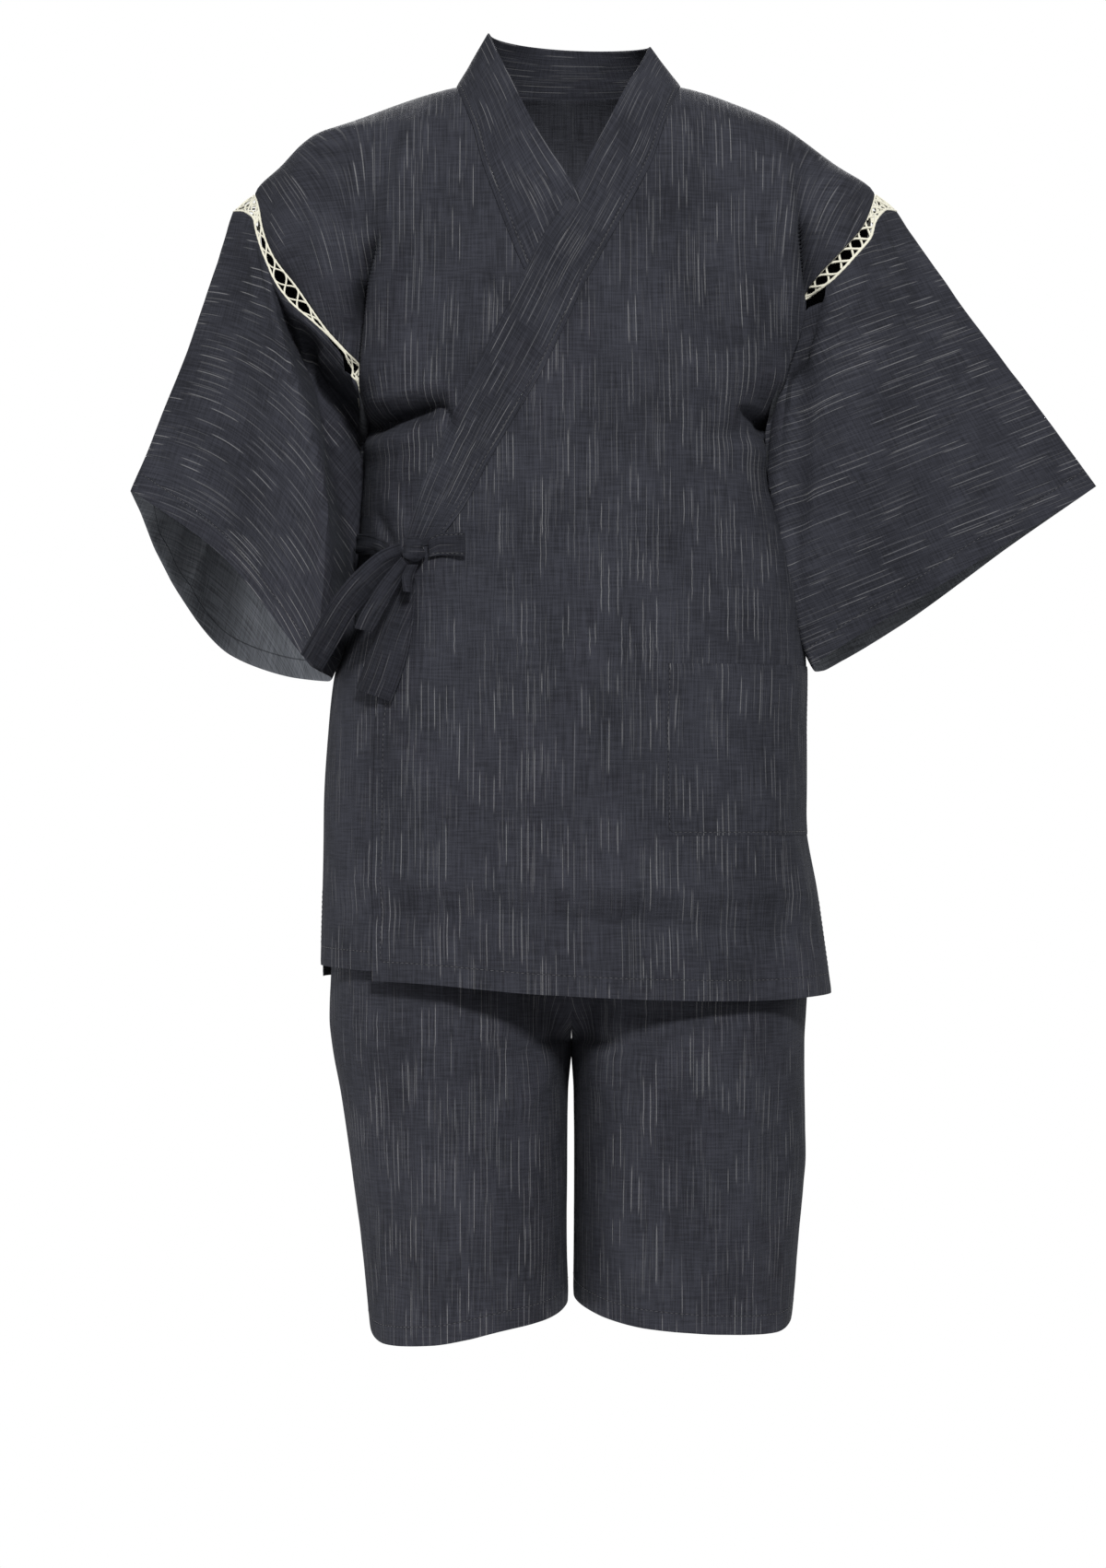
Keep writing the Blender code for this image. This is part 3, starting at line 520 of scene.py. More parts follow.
def folded(p, q, folds):
    """The height that a table of folds gives at (p, q)."""
    total = np.zeros(np.broadcast(p, q).shape)
    for ap, aq, bp, bq, bow, height, width, lean in zip(*folds.values()):
        run_p, run_q = bp - ap, bq - aq
        length = math.hypot(run_p, run_q)
        along = ((p - ap) * run_p + (q - aq) * run_q) / length ** 2
        off = ((q - aq) * run_p - (p - ap) * run_q) / length
        off = off - bow * 4 * np.clip(along, 0, 1) * (1 - np.clip(along, 0, 1))
        flank = width * (1 + lean * np.tanh(off / width))
        thin = ease((along + 0.12) / 0.34) * ease((1.12 - along) / 0.34)
        total += height * thin * np.exp(-(off / flank) ** 2)
    return total


def rumple(p, q, cell_p, cell_q, seed):
    """Smooth random heights from -1 to 1, with one knot a cell."""
    knots = np.random.default_rng(seed).uniform(-1, 1, (96, 96))
    a, b = np.asarray(p) / cell_p + 40.3, np.asarray(q) / cell_q + 40.7
    i, j = np.floor(a).astype(int), np.floor(b).astype(int)
    s, t = ease(a - i), ease(b - j)
    i, j = i % 95, j % 95
    top = knots[i, j] * (1 - s) + knots[i + 1, j] * s
    low = knots[i, j + 1] * (1 - s) + knots[i + 1, j + 1] * s
    return top * (1 - t) + low * t


def crumple(p, q, seed):
    """The cloth's small unevenness: long soft waves and short puckers."""
    return (1.5 * rumple(p, q, 34, 95, seed) + 0.7 * rumple(p, q, 17, 40, seed + 1)
            + 0.28 * rumple(p, q, 9, 14, seed + 2))


# ---- the body

def half_width(x, z):
    return np.where(x < 0, column(TORSO, "right", z), column(TORSO, "left", z))


def depth_at(y, z):
    return np.where(y < 0, column(TORSO, "front", z), column(TORSO, "back", z))


def torso(turn_deg, z, out=0.0, creased=True):
    """The body at a turn from centre front (in degrees, + to the wearer's left)."""
    turn, z = np.broadcast_arrays(np.radians(turn_deg), np.asarray(z, float))
    s, c = np.sin(turn), np.cos(turn)
    half, depth, square = half_width(s, z), depth_at(-c, z), column(TORSO, "square", z)
    across, along = signed_power(s, 2 / square), -signed_power(c, 2 / square)
    x, y = half * across, depth * along
    if not creased:
        return np.stack([x, y, z], -1)
    facing = unit(np.stack([signed_power(across, square - 1) / half,
                            signed_power(along, square - 1) / depth], -1))
    relief = np.where(y < 0, FOLD_GAIN * folded(x, z, FRONT_FOLDS) + crumple(x, z, 11),
                      FOLD_GAIN * folded(x, z, BACK_FOLDS) + crumple(x, z, 21))
    waves = 0.8 * np.sin(x / 31 + z / 47) * np.sin(y / 27 - z / 83)
    below = ease((-z - 2) / 30)
    relief = (relief * ease(np.abs(c) * 2.2) * below)[..., None]
    flat = (np.stack([x, y], -1) + facing * (out + waves * below)[..., None]
            + unit(facing * (0.3, 1.0)) * relief)
    return np.concatenate([flat, z[..., None]], -1)


def turn_at(x, z):
    """The turn at which the body's front is this far across."""
    share = np.clip(np.abs(x) / half_width(x, z), 0, 1) ** (column(TORSO, "square", z) / 2)
    return np.sign(x) * np.degrees(np.arcsin(share))


def over_out(turn, z):
    """The over layer's height above the under one: nothing at the shoulder and side."""
    below_shoulder, towards_side = (-z - 14) / 60, (turn - 50) / 38
    return LAYER * ease(below_shoulder) * (1 - ease(towards_side))


def laid(x, z, out):
    return torso(turn_at(x, z), z, out)


def levels(top, foot, step):
    """Heights from top to foot, about one step apart along the body's outline."""
    z = np.linspace(top, foot, 600)
    half = column(TORSO, "left", z)
    run = np.concatenate([[0], np.cumsum(np.hypot(np.diff(z), np.diff(half)))])
    return np.interp(np.linspace(0, run[-1], max(3, int(run[-1] / step))), run, z)


def body_levels(step=5.0):
    """Heights of the body's rows, with one at each place where its edges change."""
    below_tip, above_hem = SHOULDER_TIP - 18, JACKET_HEM + 18
    marks = [0, SHOULDER_TIP, below_tip, ARMPIT, COLLAR_END, SLIT_TOP, above_hem]
    fine = {SHOULDER_TIP: 1.2, below_tip: 3.2}
    rows = [levels(a, b, fine.get(a, step))[:-1] for a, b in zip(marks[:-1], marks[1:])]
    return np.concatenate(rows + [np.linspace(above_hem, JACKET_HEM, 6)])


def edge_shares(count):
    """Shares from 0 to 1 with two closer ones at each end, for the dip at a seam."""
    inner = np.linspace(0, 1, count)
    near = np.array([0.3, 0.62]) * inner[1]
    return np.concatenate([[0], near, inner[1:-1], 1 - near[::-1], [1]])


def side_turn(side, half, z):
    """Where a body panel ends at its side: shoulder seam, armhole, side seam or slit."""
    sign = 1 if side == "left" else -1
    armhole = turn_at(sign * column(ARMHOLE, f"{side}_{half}", z), z)
    plain = sign * (90 - 2.5 * ease((SLIT_TOP - z) / (SLIT_TOP - JACKET_HEM)))
    turn = np.where((z < SHOULDER_TIP) & (z > ARMPIT), armhole, plain)
    return 180 - turn if half == "back" else turn


def dropped(z, x, hem):
    """Rows near the hem follow its own line."""
    share = ease((POCKET_FOOT - z) / (POCKET_FOOT - JACKET_HEM))
    return z + share * (column(HEM, hem, x, "x") - JACKET_HEM)


def front_edge_turn(side, z):
    """The turn of a front's inner edge: the band's seam, then the free edge."""
    share = ease((COLLAR_END + 26 - z) / 26)
    return turn_at(column(BAND, side + "_sewn", z) * (1 - share)
                   + column(FREE_EDGE, side, z) * share, z)


def cloth_fall(x, z, back):
    """Length of cloth down to z at this distance across, level with z below the chest."""
    reference, steps = -200.0, 16
    total = np.minimum(z, reference)
    low = np.maximum(z, reference)
    y_last = None
    for k in range(steps + 1):
        level = reference + (low - reference) * k / steps
        square = column(TORSO, "square", level)
        share = np.clip(np.abs(x) / half_width(x, level), 0, 1)
        open_part = np.clip(1 - share ** square, 0, 1)
        y = column(TORSO, "back" if back else "front", level) * open_part ** (1 / square)
        if y_last is not None:
            total = total + np.hypot((low - reference) / steps, y - y_last)
        y_last = y
    return total


def body_weave(points, turns, back):
    """Weave coordinates on a body panel: across it, and down its threads."""
    x, z = points[..., 0], points[..., 2]
    middle = 180 if back else 0
    length = run_length(points, 1)
    sign = -1 if back else 1
    zero = np.array([np.interp(middle, t, s) for t, s in zip(turns, length)])
    outside = np.where(turns[:, 0] > middle, x[:, 0] * sign, 0)
    outside = np.where(turns[:, -1] < middle, x[:, -1] * sign, outside)
    arc = sign * (length - zero[:, None]) + outside[:, None] * sign
    share = ease((-z - 150) / 140)
    across = arc * share + x * 1.04 * (1 - share)
    fan = ease((np.abs(x) - 150) / 110) * (1 - ease((-z - 200) / 80))
    across = across + np.sign(x) * 0.6 * (-z - 140) * fan
    return np.stack([across, cloth_fall(x, z, back)], -1)


def nearest(*distances):
    return np.minimum.reduce(np.broadcast_arrays(*distances))


def grid_facing(points):
    """The way out at each point: the mean of the facings of the cells round it."""
    cells = np.cross(points[1:, 1:] - points[:-1, :-1], points[:-1, 1:] - points[1:, :-1])
    total = np.zeros_like(points)
    for rows in (slice(0, -1), slice(1, None)):
        for cols in (slice(0, -1), slice(1, None)):
            total[rows, cols] += cells
    return unit(total)


class Sheet:
    """A piece of cloth: points, weave coordinates, and how far each is from its stitches."""

    def __init__(self, name, points, weave, stitch, thick=CLOTH):
        self.name, self.points, self.weave, self.thick = name, points, weave, thick
        self.stitch = stitch + 0 * points[..., 0]
        self.facing = grid_facing(points)

    def raised(self, height):
        self.points = self.points + self.facing * height[..., None]
        return self


def seam_dip(shape, edges, depth=0.7):
    """A dip at the named edges of a grid, where a seam draws the cloth in."""
    dip = np.zeros(shape[:2])
    from_edge = dict(left=dip.T, right=dip.T[::-1], top=dip, foot=dip[::-1])
    for edge in edges.split():
        for k, share in enumerate((1.0, 0.62, 0.22)):
            from_edge[edge][k] = np.maximum(from_edge[edge][k], share * depth)
    return dip


def body_points(starts, ends, z, shares, hem, out):
    turns = starts[:, None] + (ends - starts)[:, None] * shares
    rows = np.broadcast_to(z[:, None], turns.shape)
    x = torso(turns, rows)[..., 0]
    level = dropped(rows, x, hem)
    return (torso(turns, level, out(turns, level)), torso(turns, level, creased=False),
            turns)


def body_sheet(name, starts, ends, z, cols, hem, out, seams):
    """A panel of the jacket. A front's free edge is on its own side of the grid."""
    points, plain, turns = body_points(starts, ends, z, edge_shares(cols), hem, out)
    length = run_length(points, 1)
    low, front_edge = (z < SLIT_TOP - 4)[:, None], (z < COLLAR_END)[:, None]
    lines = [(z - JACKET_HEM)[:, None] - HEM_STITCH]
    for edge, run in (("left", length), ("right", length[:, -1:] - length)):
        lines.append(np.where(front_edge, run - EDGE_STITCH, FAR) if edge == hem
                     else np.where(low, run - SLIT_STITCH, FAR))
    sheet = Sheet(name, points, body_weave(plain, turns, hem == "back"), nearest(*lines))
    return sheet.raised(-seam_dip(points.shape, seams))


def no_lift(turn, z):
    return 0.0 * turn


def jacket_sheets():
    """The over front, the under front and the back."""
    z = body_levels()
    return [
        body_sheet("left_front", front_edge_turn("left", z), side_turn("left", "front", z),
                   z, 150, "left", over_out, "right top"),
        body_sheet("right_front", side_turn("right", "front", z), front_edge_turn("right", z),
                   z, 136, "right", no_lift, "left top"),
        body_sheet("back", side_turn("left", "back", z), side_turn("right", "back", z),
                   z, 118, "back", no_lift, "left right"),
    ]


# ---- band and pocket

def band_edges(side, out, z):
    """Sewn and free edges of the band down one front."""
    turn = turn_at(column(BAND, side + "_sewn", z), z)
    sewn = torso(turn, z, out(turn, z))
    stands = ~np.isnan(BAND[side + "_y"])
    heights, depths = BAND["z"][stands], BAND[side + "_y"][stands]
    x, free_z = column(BAND, side + "_x", z), column(BAND, side + "_z", z)
    lies = laid(x, free_z, out(turn_at(x, free_z), free_z))
    upright = np.stack([x, smooth_at(heights, depths, z), free_z], -1)
    share = ease((z - heights[-1]) / 25 + 1)[:, None]
    return sewn, lies * (1 - share) + upright * share


def collar_sheet():
    """One band: up the over front, round the back of the neck, down the under front."""
    z = np.concatenate([levels(0, SHOULDER_TIP, 5.0)[:-1],
                        np.linspace(SHOULDER_TIP, COLLAR_END, 80)])
    left = band_edges("left", over_out, z)
    right = band_edges("right", no_lift, z)
    turn = np.linspace(90, 270, 52)[1:-1]
    half_turn = np.radians(turn - 90)
    neck = torso(turn, 0.0), np.stack([
        NECK["x"] + NECK["half_x"] * np.cos(half_turn),
        NECK["y"] + NECK["half_y"] * np.sin(half_turn),
        NECK["z"] + NECK["rise"] * half_turn / math.pi + NECK["arch"] * np.sin(half_turn),
    ], -1)
    sewn, free = (np.concatenate([left[k][::-1], neck[k], right[k]]) for k in (0, 1))
    shares = np.concatenate([[-0.045, -0.02], np.linspace(0.01, 0.97, 15), [0.99, 1.0]])
    points = sewn + (free - sewn) * shares[:, None, None]
    from_left = np.arange(len(sewn)) < len(z)
    for row in points[:-2]:
        x, level = row[:, 0], row[:, 2]
        lift = np.where(from_left, over_out(turn_at(x, level), level), 0.0)
        share = ease((CHEST - level) / CHEST_BLEND)[:, None]
        row[:] = row * (1 - share) + laid(x, level, lift) * share
    grid = points.transpose(1, 0, 2)
    along = run_length(grid, 0)[:, 8:9] + 0 * grid[..., 0]
    across = 1000 * CUTS["collar"][0] * shares + 0 * along
    sheet = Sheet("collar", grid, np.stack([across, along], -1),
                  nearest(across - TOPSTITCH, FAR), thick=FOLDED)
    belly = np.sin(np.pi * np.clip(shares, 0, 1))
    puff = 1.25 - 0.75 * ease(shares * 3) + 0.35 * belly
    pucker = 0.35 * rumple(along, across, 26, 30, 5) + 0.22 * rumple(along, across, 11, 14, 6)
    return sheet.raised(puff + pucker * belly)


def pocket_sheet():
    """The patch pocket, on the left front's own points moved out."""
    z = np.linspace(POCKET_TOP, POCKET_FOOT, 34)
    shares = POCKET_SHARE + (0.99 - POCKET_SHARE) * edge_shares(32)
    points, plain, _ = body_points(front_edge_turn("left", z), side_turn("left", "front", z),
                                   z, shares, "left",
                                   lambda turn, level: over_out(turn, level) + POCKET_LIFT)
    length = run_length(points, 1)
    stitch = nearest(length - TOPSTITCH, length[:, -1:] - length - TOPSTITCH,
                     (z - POCKET_FOOT)[:, None] - TOPSTITCH,
                     np.abs((POCKET_TOP - z)[:, None] - POCKET_HEM))
    weave = np.stack([run_length(plain, 1) + POCKET_WEAVE, plain[..., 2]], -1)
    sheet = Sheet("pocket", points, weave, stitch)
    return sheet.raised(-seam_dip(points.shape, "left right foot", 0.45))


# ---- lace and sleeves

def armhole_points(side, place):
    """Body points round the armhole: place 0 at the tip, 8 or -8 at the armpit."""
    z = column(ARMHOLE, "z", np.abs(place), "place")
    return torso(np.where(place >= 0, side_turn(side, "front", z), side_turn(side, "back", z)), z)


def sleeve_way(side, place):
    """The direction in which the sleeve leaves the armhole."""
    sign = 1 if side == "left" else -1
    fall = np.abs(place)
    swing = np.sin(np.pi * fall / 8) * np.where(place >= 0, -1, 1)
    low = ease(fall / 8)
    return unit(np.stack([sign * (0.78 + 0.12 * low), 0.34 * swing, -0.62 + 0.19 * low], -1))


def lace_width(side, place):
    z = column(ARMHOLE, "z", np.abs(place), "place")
    return np.where(place >= 0, column(LACE, side, z), column(LACE, "back", z))


def clear_of_body(points, clear):
    """Points moved straight out to where they clear the body."""
    x, y, z = points[..., 0], points[..., 1], points[..., 2]
    half, square = half_width(x, z), column(TORSO, "square", z)
    size = ((np.abs(x) / half) ** square
            + (np.abs(y) / depth_at(y, z)) ** square) ** (1 / square)
    grow = np.maximum((1 + clear / half) / size, 1)[..., None]
    return np.concatenate([points[..., :2] * grow, points[..., 2:]], -1)


def lace_points(side, place, share):
    return (armhole_points(side, place)
            + sleeve_way(side, place) * (lace_width(side, place) * share)[..., None])


# The place of each sleeve's front ridge from armhole to cuff: behind it the cloth turns in.
SLEEVE_RIDGE = table("share right left", [
    (0, 2.9, 3.3),
    (0.25, 3.35, 3.5),
    (0.5, 3.85, 3.6),
    (0.8, 4.3, 3.8),
    (1, 4.4, 3.9),
])
SLEEVE_TURN = dict(right=0.7, left=1.5, right_depth=66, left_depth=15)
TOP_CREASE = dict(x=-289, z=-107, grade=0.38)


def sleeve_grain(side, points):
    """The weave's coordinate across the threads, which run round the arm."""
    x, z = points[..., 0], points[..., 2]
    if side == "left":
        tilt = math.radians(22)
        return z * math.cos(tilt) - x * math.sin(tilt)
    from_crease = np.maximum(x - TOP_CREASE["x"] - TOP_CREASE["grade"] * (z - TOP_CREASE["z"]), 0)
    return 0.88 * (z + 0.16 * from_crease + 0.0024 * from_crease ** 2)


def sleeve_sheet(side):
    """A tube from the armhole to the cuff, sewn along its underside."""
    place = np.linspace(-8, 8, 150)
    share = np.concatenate([[0, 0.006, 0.012], np.linspace(0.02, 0.93, 52),
                            np.linspace(0.945, 1.0, 6)])
    edge = lace_points(side, place, np.ones_like(place))
    wrapped = np.where(place < 0, place + 16, place)
    cuff, push = (np.stack([column(tab, f"{side}_{k}", wrapped, "place") for k in "xyz"], -1)
                  for tab in (CUFF, PUSH))
    t = share[:, None, None]
    points = edge * (1 - t) + cuff * t + push * 4 * t * (1 - t)
    ridge = column(SLEEVE_RIDGE, side, share, "share")[:, None]
    turned = ease((place - ridge) / SLEEVE_TURN[side]) * ease((8.3 - place) / 2.6)
    middle_part = (ease(share / 0.22) * ease((1 - share) / 0.3))[:, None]
    points[..., 1] += SLEEVE_TURN[side + "_depth"] * turned * middle_part
    points = clear_of_body(points, SLEEVE_CLEAR * ease(t[..., 0] / 0.2))
    folds, seed = SLEEVE_RIGHT_FOLDS, 41
    if side == "left":
        points, place = points[:, ::-1], place[::-1]
        folds, seed = SLEEVE_LEFT_FOLDS, 31
    p = ARM_RUN * place + 0 * share[:, None]
    q = SLEEVE_RUN * share[:, None] + 0 * p
    relief = folded(p, q, folds) + 0.8 * crumple(q * 0.6, p, seed)
    relief = relief * ease(q / 22) * ease((8 - np.abs(p) / ARM_RUN) / 0.5)
    length = run_length(points, 1)
    top = np.array([np.interp(0, place * np.sign(place[-1]), row) for row in length])
    weave = np.stack([sleeve_grain(side, points), length - top[:, None]], -1)
    to_cuff = run_length(points[::-1], 0)[::-1] - HEM_STITCH
    sheet = Sheet("sleeve_" + side, points, weave, to_cuff)
    return sheet.raised(relief - seam_dip(points.shape, "left right", 0.5))


# ---- shorts

def leg_point(side, front, share, z):
    """A point of the shorts: share 0 at the side seam, 1 at the centre or inseam."""
    sign = 1 if side == "left" else -1
    fore = "front" if front else "back"
    turn = share * math.pi / 2
    hip = np.stack([
        column(HIPS, side, z) * np.cos(turn) ** HALF_POWER,
        column(HIPS, fore, z) * np.sin(turn) ** HALF_POWER,
    ], -1)
    turn = share * math.pi
    outer, inner = column(LEGS, side + "_out", z), column(LEGS, side + "_in", z)
    leg = np.stack([
        (outer + inner) / 2 + (outer - inner) / 2 * signed_power(np.cos(turn)),
        column(LEGS, fore, z) * np.abs(np.sin(turn)) ** HALF_POWER,
    ], -1)
    wide = ease((-560 - z) / (-560 - CROTCH))
    fall = np.clip((-640 - z) / (-640 - CROTCH), 0, 1)
    rise = 1 - np.sqrt(1 - fall * fall)
    mix = (wide * (1 - share ** 5) + rise * share ** 5)[..., None]
    flat = hip * (1 - mix) + leg * mix
    return np.stack([sign * flat[..., 0], (-1 if front else 1) * flat[..., 1]], -1)


def leg_sheet(side, front):
    z = np.concatenate([np.linspace(SHORTS_WAIST, THIGH, 24)[:-1],
                        np.linspace(THIGH, CROTCH, 26)[:-1],
                        np.linspace(CROTCH, SHORTS_HEM + 20, 52)[:-1],
                        np.linspace(SHORTS_HEM + 20, SHORTS_HEM, 6)])
    shares = edge_shares(62)
    hem = column(LEG_HEM, side, shares, "place")
    if not front:
        middle_part = ease(shares * 2.2) * ease((1 - shares) * 2.2)
        hem = hem + (column(LEG_HEM, "back", shares, "place") - hem) * middle_part
    pull = ease((-900 - z) / (-900 - SHORTS_HEM))[:, None]
    grid_z = z[:, None] + 0 * shares
    flat = leg_point(side, front, shares + 0 * grid_z, grid_z)
    points = np.concatenate([flat, (grid_z + pull * (hem - SHORTS_HEM))[..., None]], -1)
    if (side == "left") == front:
        points = points[:, ::-1]
    fore = "front" if front else "back"
    x, level = points[..., 0], points[..., 2]
    folds = SHORTS_FRONT_FOLDS if front else SHORTS_BACK_FOLDS
    relief = folded(x, level, folds) + crumple(x, level, 51 if front else 61)
    length = run_length(points, 1)
    fade = ease(np.minimum(length, length[:, -1:] - length) / 26)
    relief = relief * fade * ease((-z - 560) / 60)[:, None]
    middle = LEG_MIDDLE if side == "left" else -LEG_MIDDLE
    zero = np.array([np.interp(0, (row - middle) * np.sign(row[-1] - row[0]), run)
                     for row, run in zip(x, length)])
    across = (length - zero[:, None]) * (1 if front else -1) + middle
    sheet = Sheet(f"shorts_{side}_{fore}", points, np.stack([across, level], -1),
                  (z - SHORTS_HEM)[:, None] - LEG_STITCH)
    return sheet.raised(relief - seam_dip(points.shape, "left right", 0.6))


def waistband_sheet():
    """A gathered band, on the hips' topmost ring."""
    half, front, back = (HIPS[name][0] for name in ("right", "front", "back"))
    turn = np.linspace(-math.pi / 2, 1.5 * math.pi, 160)[::-1]
    rows = []
    for z in np.linspace(WAISTBAND_TOP, SHORTS_WAIST + 1, 9):
        gather = 1.1 * np.sin(turn * 46 + 2 * np.sin(turn * 7)) * ease((WAISTBAND_TOP - z) / 5)
        drawn = 3 * ease((z - SHORTS_WAIST) / 30) - gather
        depth = np.where(np.sin(turn) < 0, front, back) - drawn
        rows.append(np.column_stack([(half - drawn) * signed_power(np.cos(turn)),
                                     depth * signed_power(np.sin(turn)),
                                     np.full(len(turn), z)]))
    points = np.array(rows)
    weave = np.stack([run_length(points, 1), points[..., 2]], -1)
    return Sheet("waistband", points, weave, FAR, thick=FOLDED)


# ---- tie

def strip_grid(tab, axes, count):
    """Each of a tie end's coordinates, from its edge a to its edge b, and its rows' out."""
    step = np.arange(len(tab["ax"]))
    fine = np.linspace(0, step[-1], count)
    rows = {name: smooth_at(step, values, fine)[:, None] for name, values in tab.items()}
    share = np.linspace(0, 1, 11)
    grid = [rows["a" + k] * (1 - share) + rows["b" + k] * share for k in axes]
    return share, grid, rows.get("out")


def strip_sheet(name, points):
    """A tie end: its dashes run along it, and its stitches 2 mm inside each edge."""
    across = run_length(points, 1)
    along = run_length(points, 0)[:, :1] + 0 * across
    edge = np.minimum(across, across[:, -1:] - across)
    return Sheet(name, points, np.stack([across + 13, along], -1), edge - 2.0, thick=TIE)


def laid_strip(name, tab, count=26):
    """A tie end that lies on the jacket."""
    share, (x, z), out = strip_grid(tab, "xz", count)
    ripple = 0.5 * np.sin(share * 9 + np.linspace(0, 5, count)[:, None])
    return strip_sheet(name, laid(x, z, out + 0.9 * np.sin(np.pi * share) + ripple))


def free_strip(name, tab, count=34):
    """A tie end that hangs clear of the jacket."""
    share, (x, y, z), _ = strip_grid(tab, "xyz", count)
    ripple = 0.6 * np.sin(share * 8 + np.linspace(0, 4, count)[:, None])
    y = y - 2.4 * np.sin(np.pi * share) ** 1.3 + ripple
    return strip_sheet(name, np.stack([x, y, z], -1))


def knot_points():
    """The knot: a small lump of folded cloth, wound about its middle."""
    fall, turn = np.meshgrid(np.linspace(0, math.pi, 40), np.linspace(0, 2 * math.pi, 64),
                             indexing="ij")
    wound = 0.10 * np.cos(3 * fall + 1.5 * np.sin(turn)) + 0.06 * np.sin(5 * turn + 4 * fall)
    waist = 1 - 0.16 * np.exp(-((fall - 1.5) / 0.22) ** 2)
    size = (1 + wound * np.sin(fall)) * waist
    ring = np.sin(fall) ** 0.8
    return np.stack([
        KNOT["x"] + KNOT["half_x"] * ring * np.cos(turn) * size,
        KNOT["y"] + KNOT["half_y"] * ring * np.sin(turn) * size,
        KNOT["z"] + KNOT["half_z"] * np.cos(fall) * (0.9 + 0.1 * size),
    ], -1)


# ---- meshes

def add_layer(mesh, name, pairs, corners):
    layer = mesh.uv_layers.new(name=name)
    layer.data.foreach_set("uv", np.ascontiguousarray(pairs[corners], np.float32).ravel())


def new_object(name, points, faces, materials):
    """A smooth mesh in metres from points in millimetres."""
    mesh = bpy.data.meshes.new(name)
    mesh.from_pydata((points * MM).tolist(), [], faces)
    mesh.polygons.foreach_set("use_smooth", [True] * len(mesh.polygons))
    for material in materials:
        mesh.materials.append(material)
    obj = bpy.data.objects.new(name, mesh)
    bpy.context.scene.collection.objects.link(obj)
    return obj


def cloth_object(name, points, faces, materials, weave, stitch, inside=None):
    """A mesh with its weave and stitch coordinates, and the faces of its inside."""
    obj = new_object(name, points, faces.tolist(), materials)
    mesh = obj.data
    corners = np.zeros(len(mesh.loops), np.int32)
    mesh.loops.foreach_get("vertex_index", corners)
    add_layer(mesh, "weave", weave * MM, corners)
    add_layer(mesh, "stitch", np.stack([stitch, 0 * stitch], -1) * MM, corners)
    if inside is not None:
        mesh.polygons.foreach_set("material_index", inside.astype(np.int32))
    mesh.set_sharp_from_angle(angle=math.radians(50))
    mesh.update()
    return obj


def grid_faces(rows, cols):
    """Outer, inner and rim faces of a wall on a grid."""
    index = np.arange(rows * cols).reshape(rows, cols)
    size = rows * cols
    a, b = index[:-1, :-1].ravel(), index[:-1, 1:].ravel()
    c, d = index[1:, 1:].ravel(), index[1:, :-1].ravel()
    outer = np.stack([a, d, c, b], -1)
    inner = np.stack([a, b, c, d], -1) + size

    def rim(first, second):
        return np.stack([first, second, second + size, first + size], -1)

    rims = np.concatenate([
        rim(index[0, :-1], index[0, 1:]), rim(index[-1, 1:], index[-1, :-1]),
        rim(index[1:, 0], index[:-1, 0]), rim(index[:-1, -1], index[1:, -1]),
    ])
    return outer, inner, rims


def build_sheet(sheet, face, reverse):
    """The piece's wall, a little thinner at its rim."""
    rows, cols = sheet.points.shape[:2]
    half = np.full((rows, cols), sheet.thick / 2)
    half[[0, -1]] *= 0.55
    half[:, [0, -1]] *= 0.55
    push = (sheet.facing * half[..., None]).reshape(-1, 3)
    flat = sheet.points.reshape(-1, 3)
    points = np.concatenate([flat + push, flat - push])
    outer, inner, rims = grid_faces(rows, cols)
    faces = np.concatenate([outer, inner, rims])
    inside = np.concatenate([np.zeros(len(outer)), np.ones(len(inner)), np.zeros(len(rims))])
    weave = np.tile(sheet.weave.reshape(-1, 2), (2, 1))
    return cloth_object(sheet.name + "_cloth", points, faces, [face, reverse], weave,
                        np.tile(sheet.stitch.ravel(), 2), inside)


def tube(path, radius, sides=7):
    """Points and faces of a cord along a path."""
    along = unit(np.gradient(path, axis=0))
    side = unit(np.cross(along, np.array([0.13, 0.21, 0.97])))
    up = np.cross(along, side)
    turn = np.linspace(0, 2 * math.pi, sides, endpoint=False)
    ring = (side[:, None] * np.cos(turn)[:, None] + up[:, None] * np.sin(turn)[:, None])
    radius = np.broadcast_to(radius, (len(path),)).copy()
    radius[[0, -1]] *= 0.2
    points = (path[:, None] + ring * radius[:, None, None]).reshape(-1, 3)
    index = np.arange(len(path) * sides).reshape(len(path), sides)
    nxt = np.roll(index, -1, axis=1)
    quads = np.stack([index[:-1], nxt[:-1], nxt[1:], index[1:]], -1).reshape(-1, 4)
    caps = [index[0][::-1].tolist(), index[-1].tolist()]
    return points, quads, caps


def joined_tubes(name, tubes, material):
    """Many cords as one mesh."""
    points, faces, base = [], [], 0
    for some_points, quads, caps in tubes:
        points.append(some_points)
        faces.extend((quads + base).tolist())
        faces.extend([[i + base for i in cap] for cap in caps])
        base += len(some_points)
    return new_object(name, np.concatenate(points), faces, [material])


def even_places(side, first, last, step):
    """Places round the armhole, a step apart in millimetres."""
    place = np.linspace(first, last, 900)
    run = run_length(lace_points(side, place, np.full(900, 0.5))[None], 1)[0]
    count = int(run[-1] / step)
    even = np.linspace(0, run[-1], count)
    return np.interp(even, run, place), even


# The crochet: length of its crossings and thickness of its cords on each side.
CROCHET = dict(left_cell=15.0, left_thick=1.45, right_cell=18.0, right_thick=1.1,
               left_seed=7, right_seed=8, edge=0.85, crossing=0.7, tip=0.8, margin=1.1)


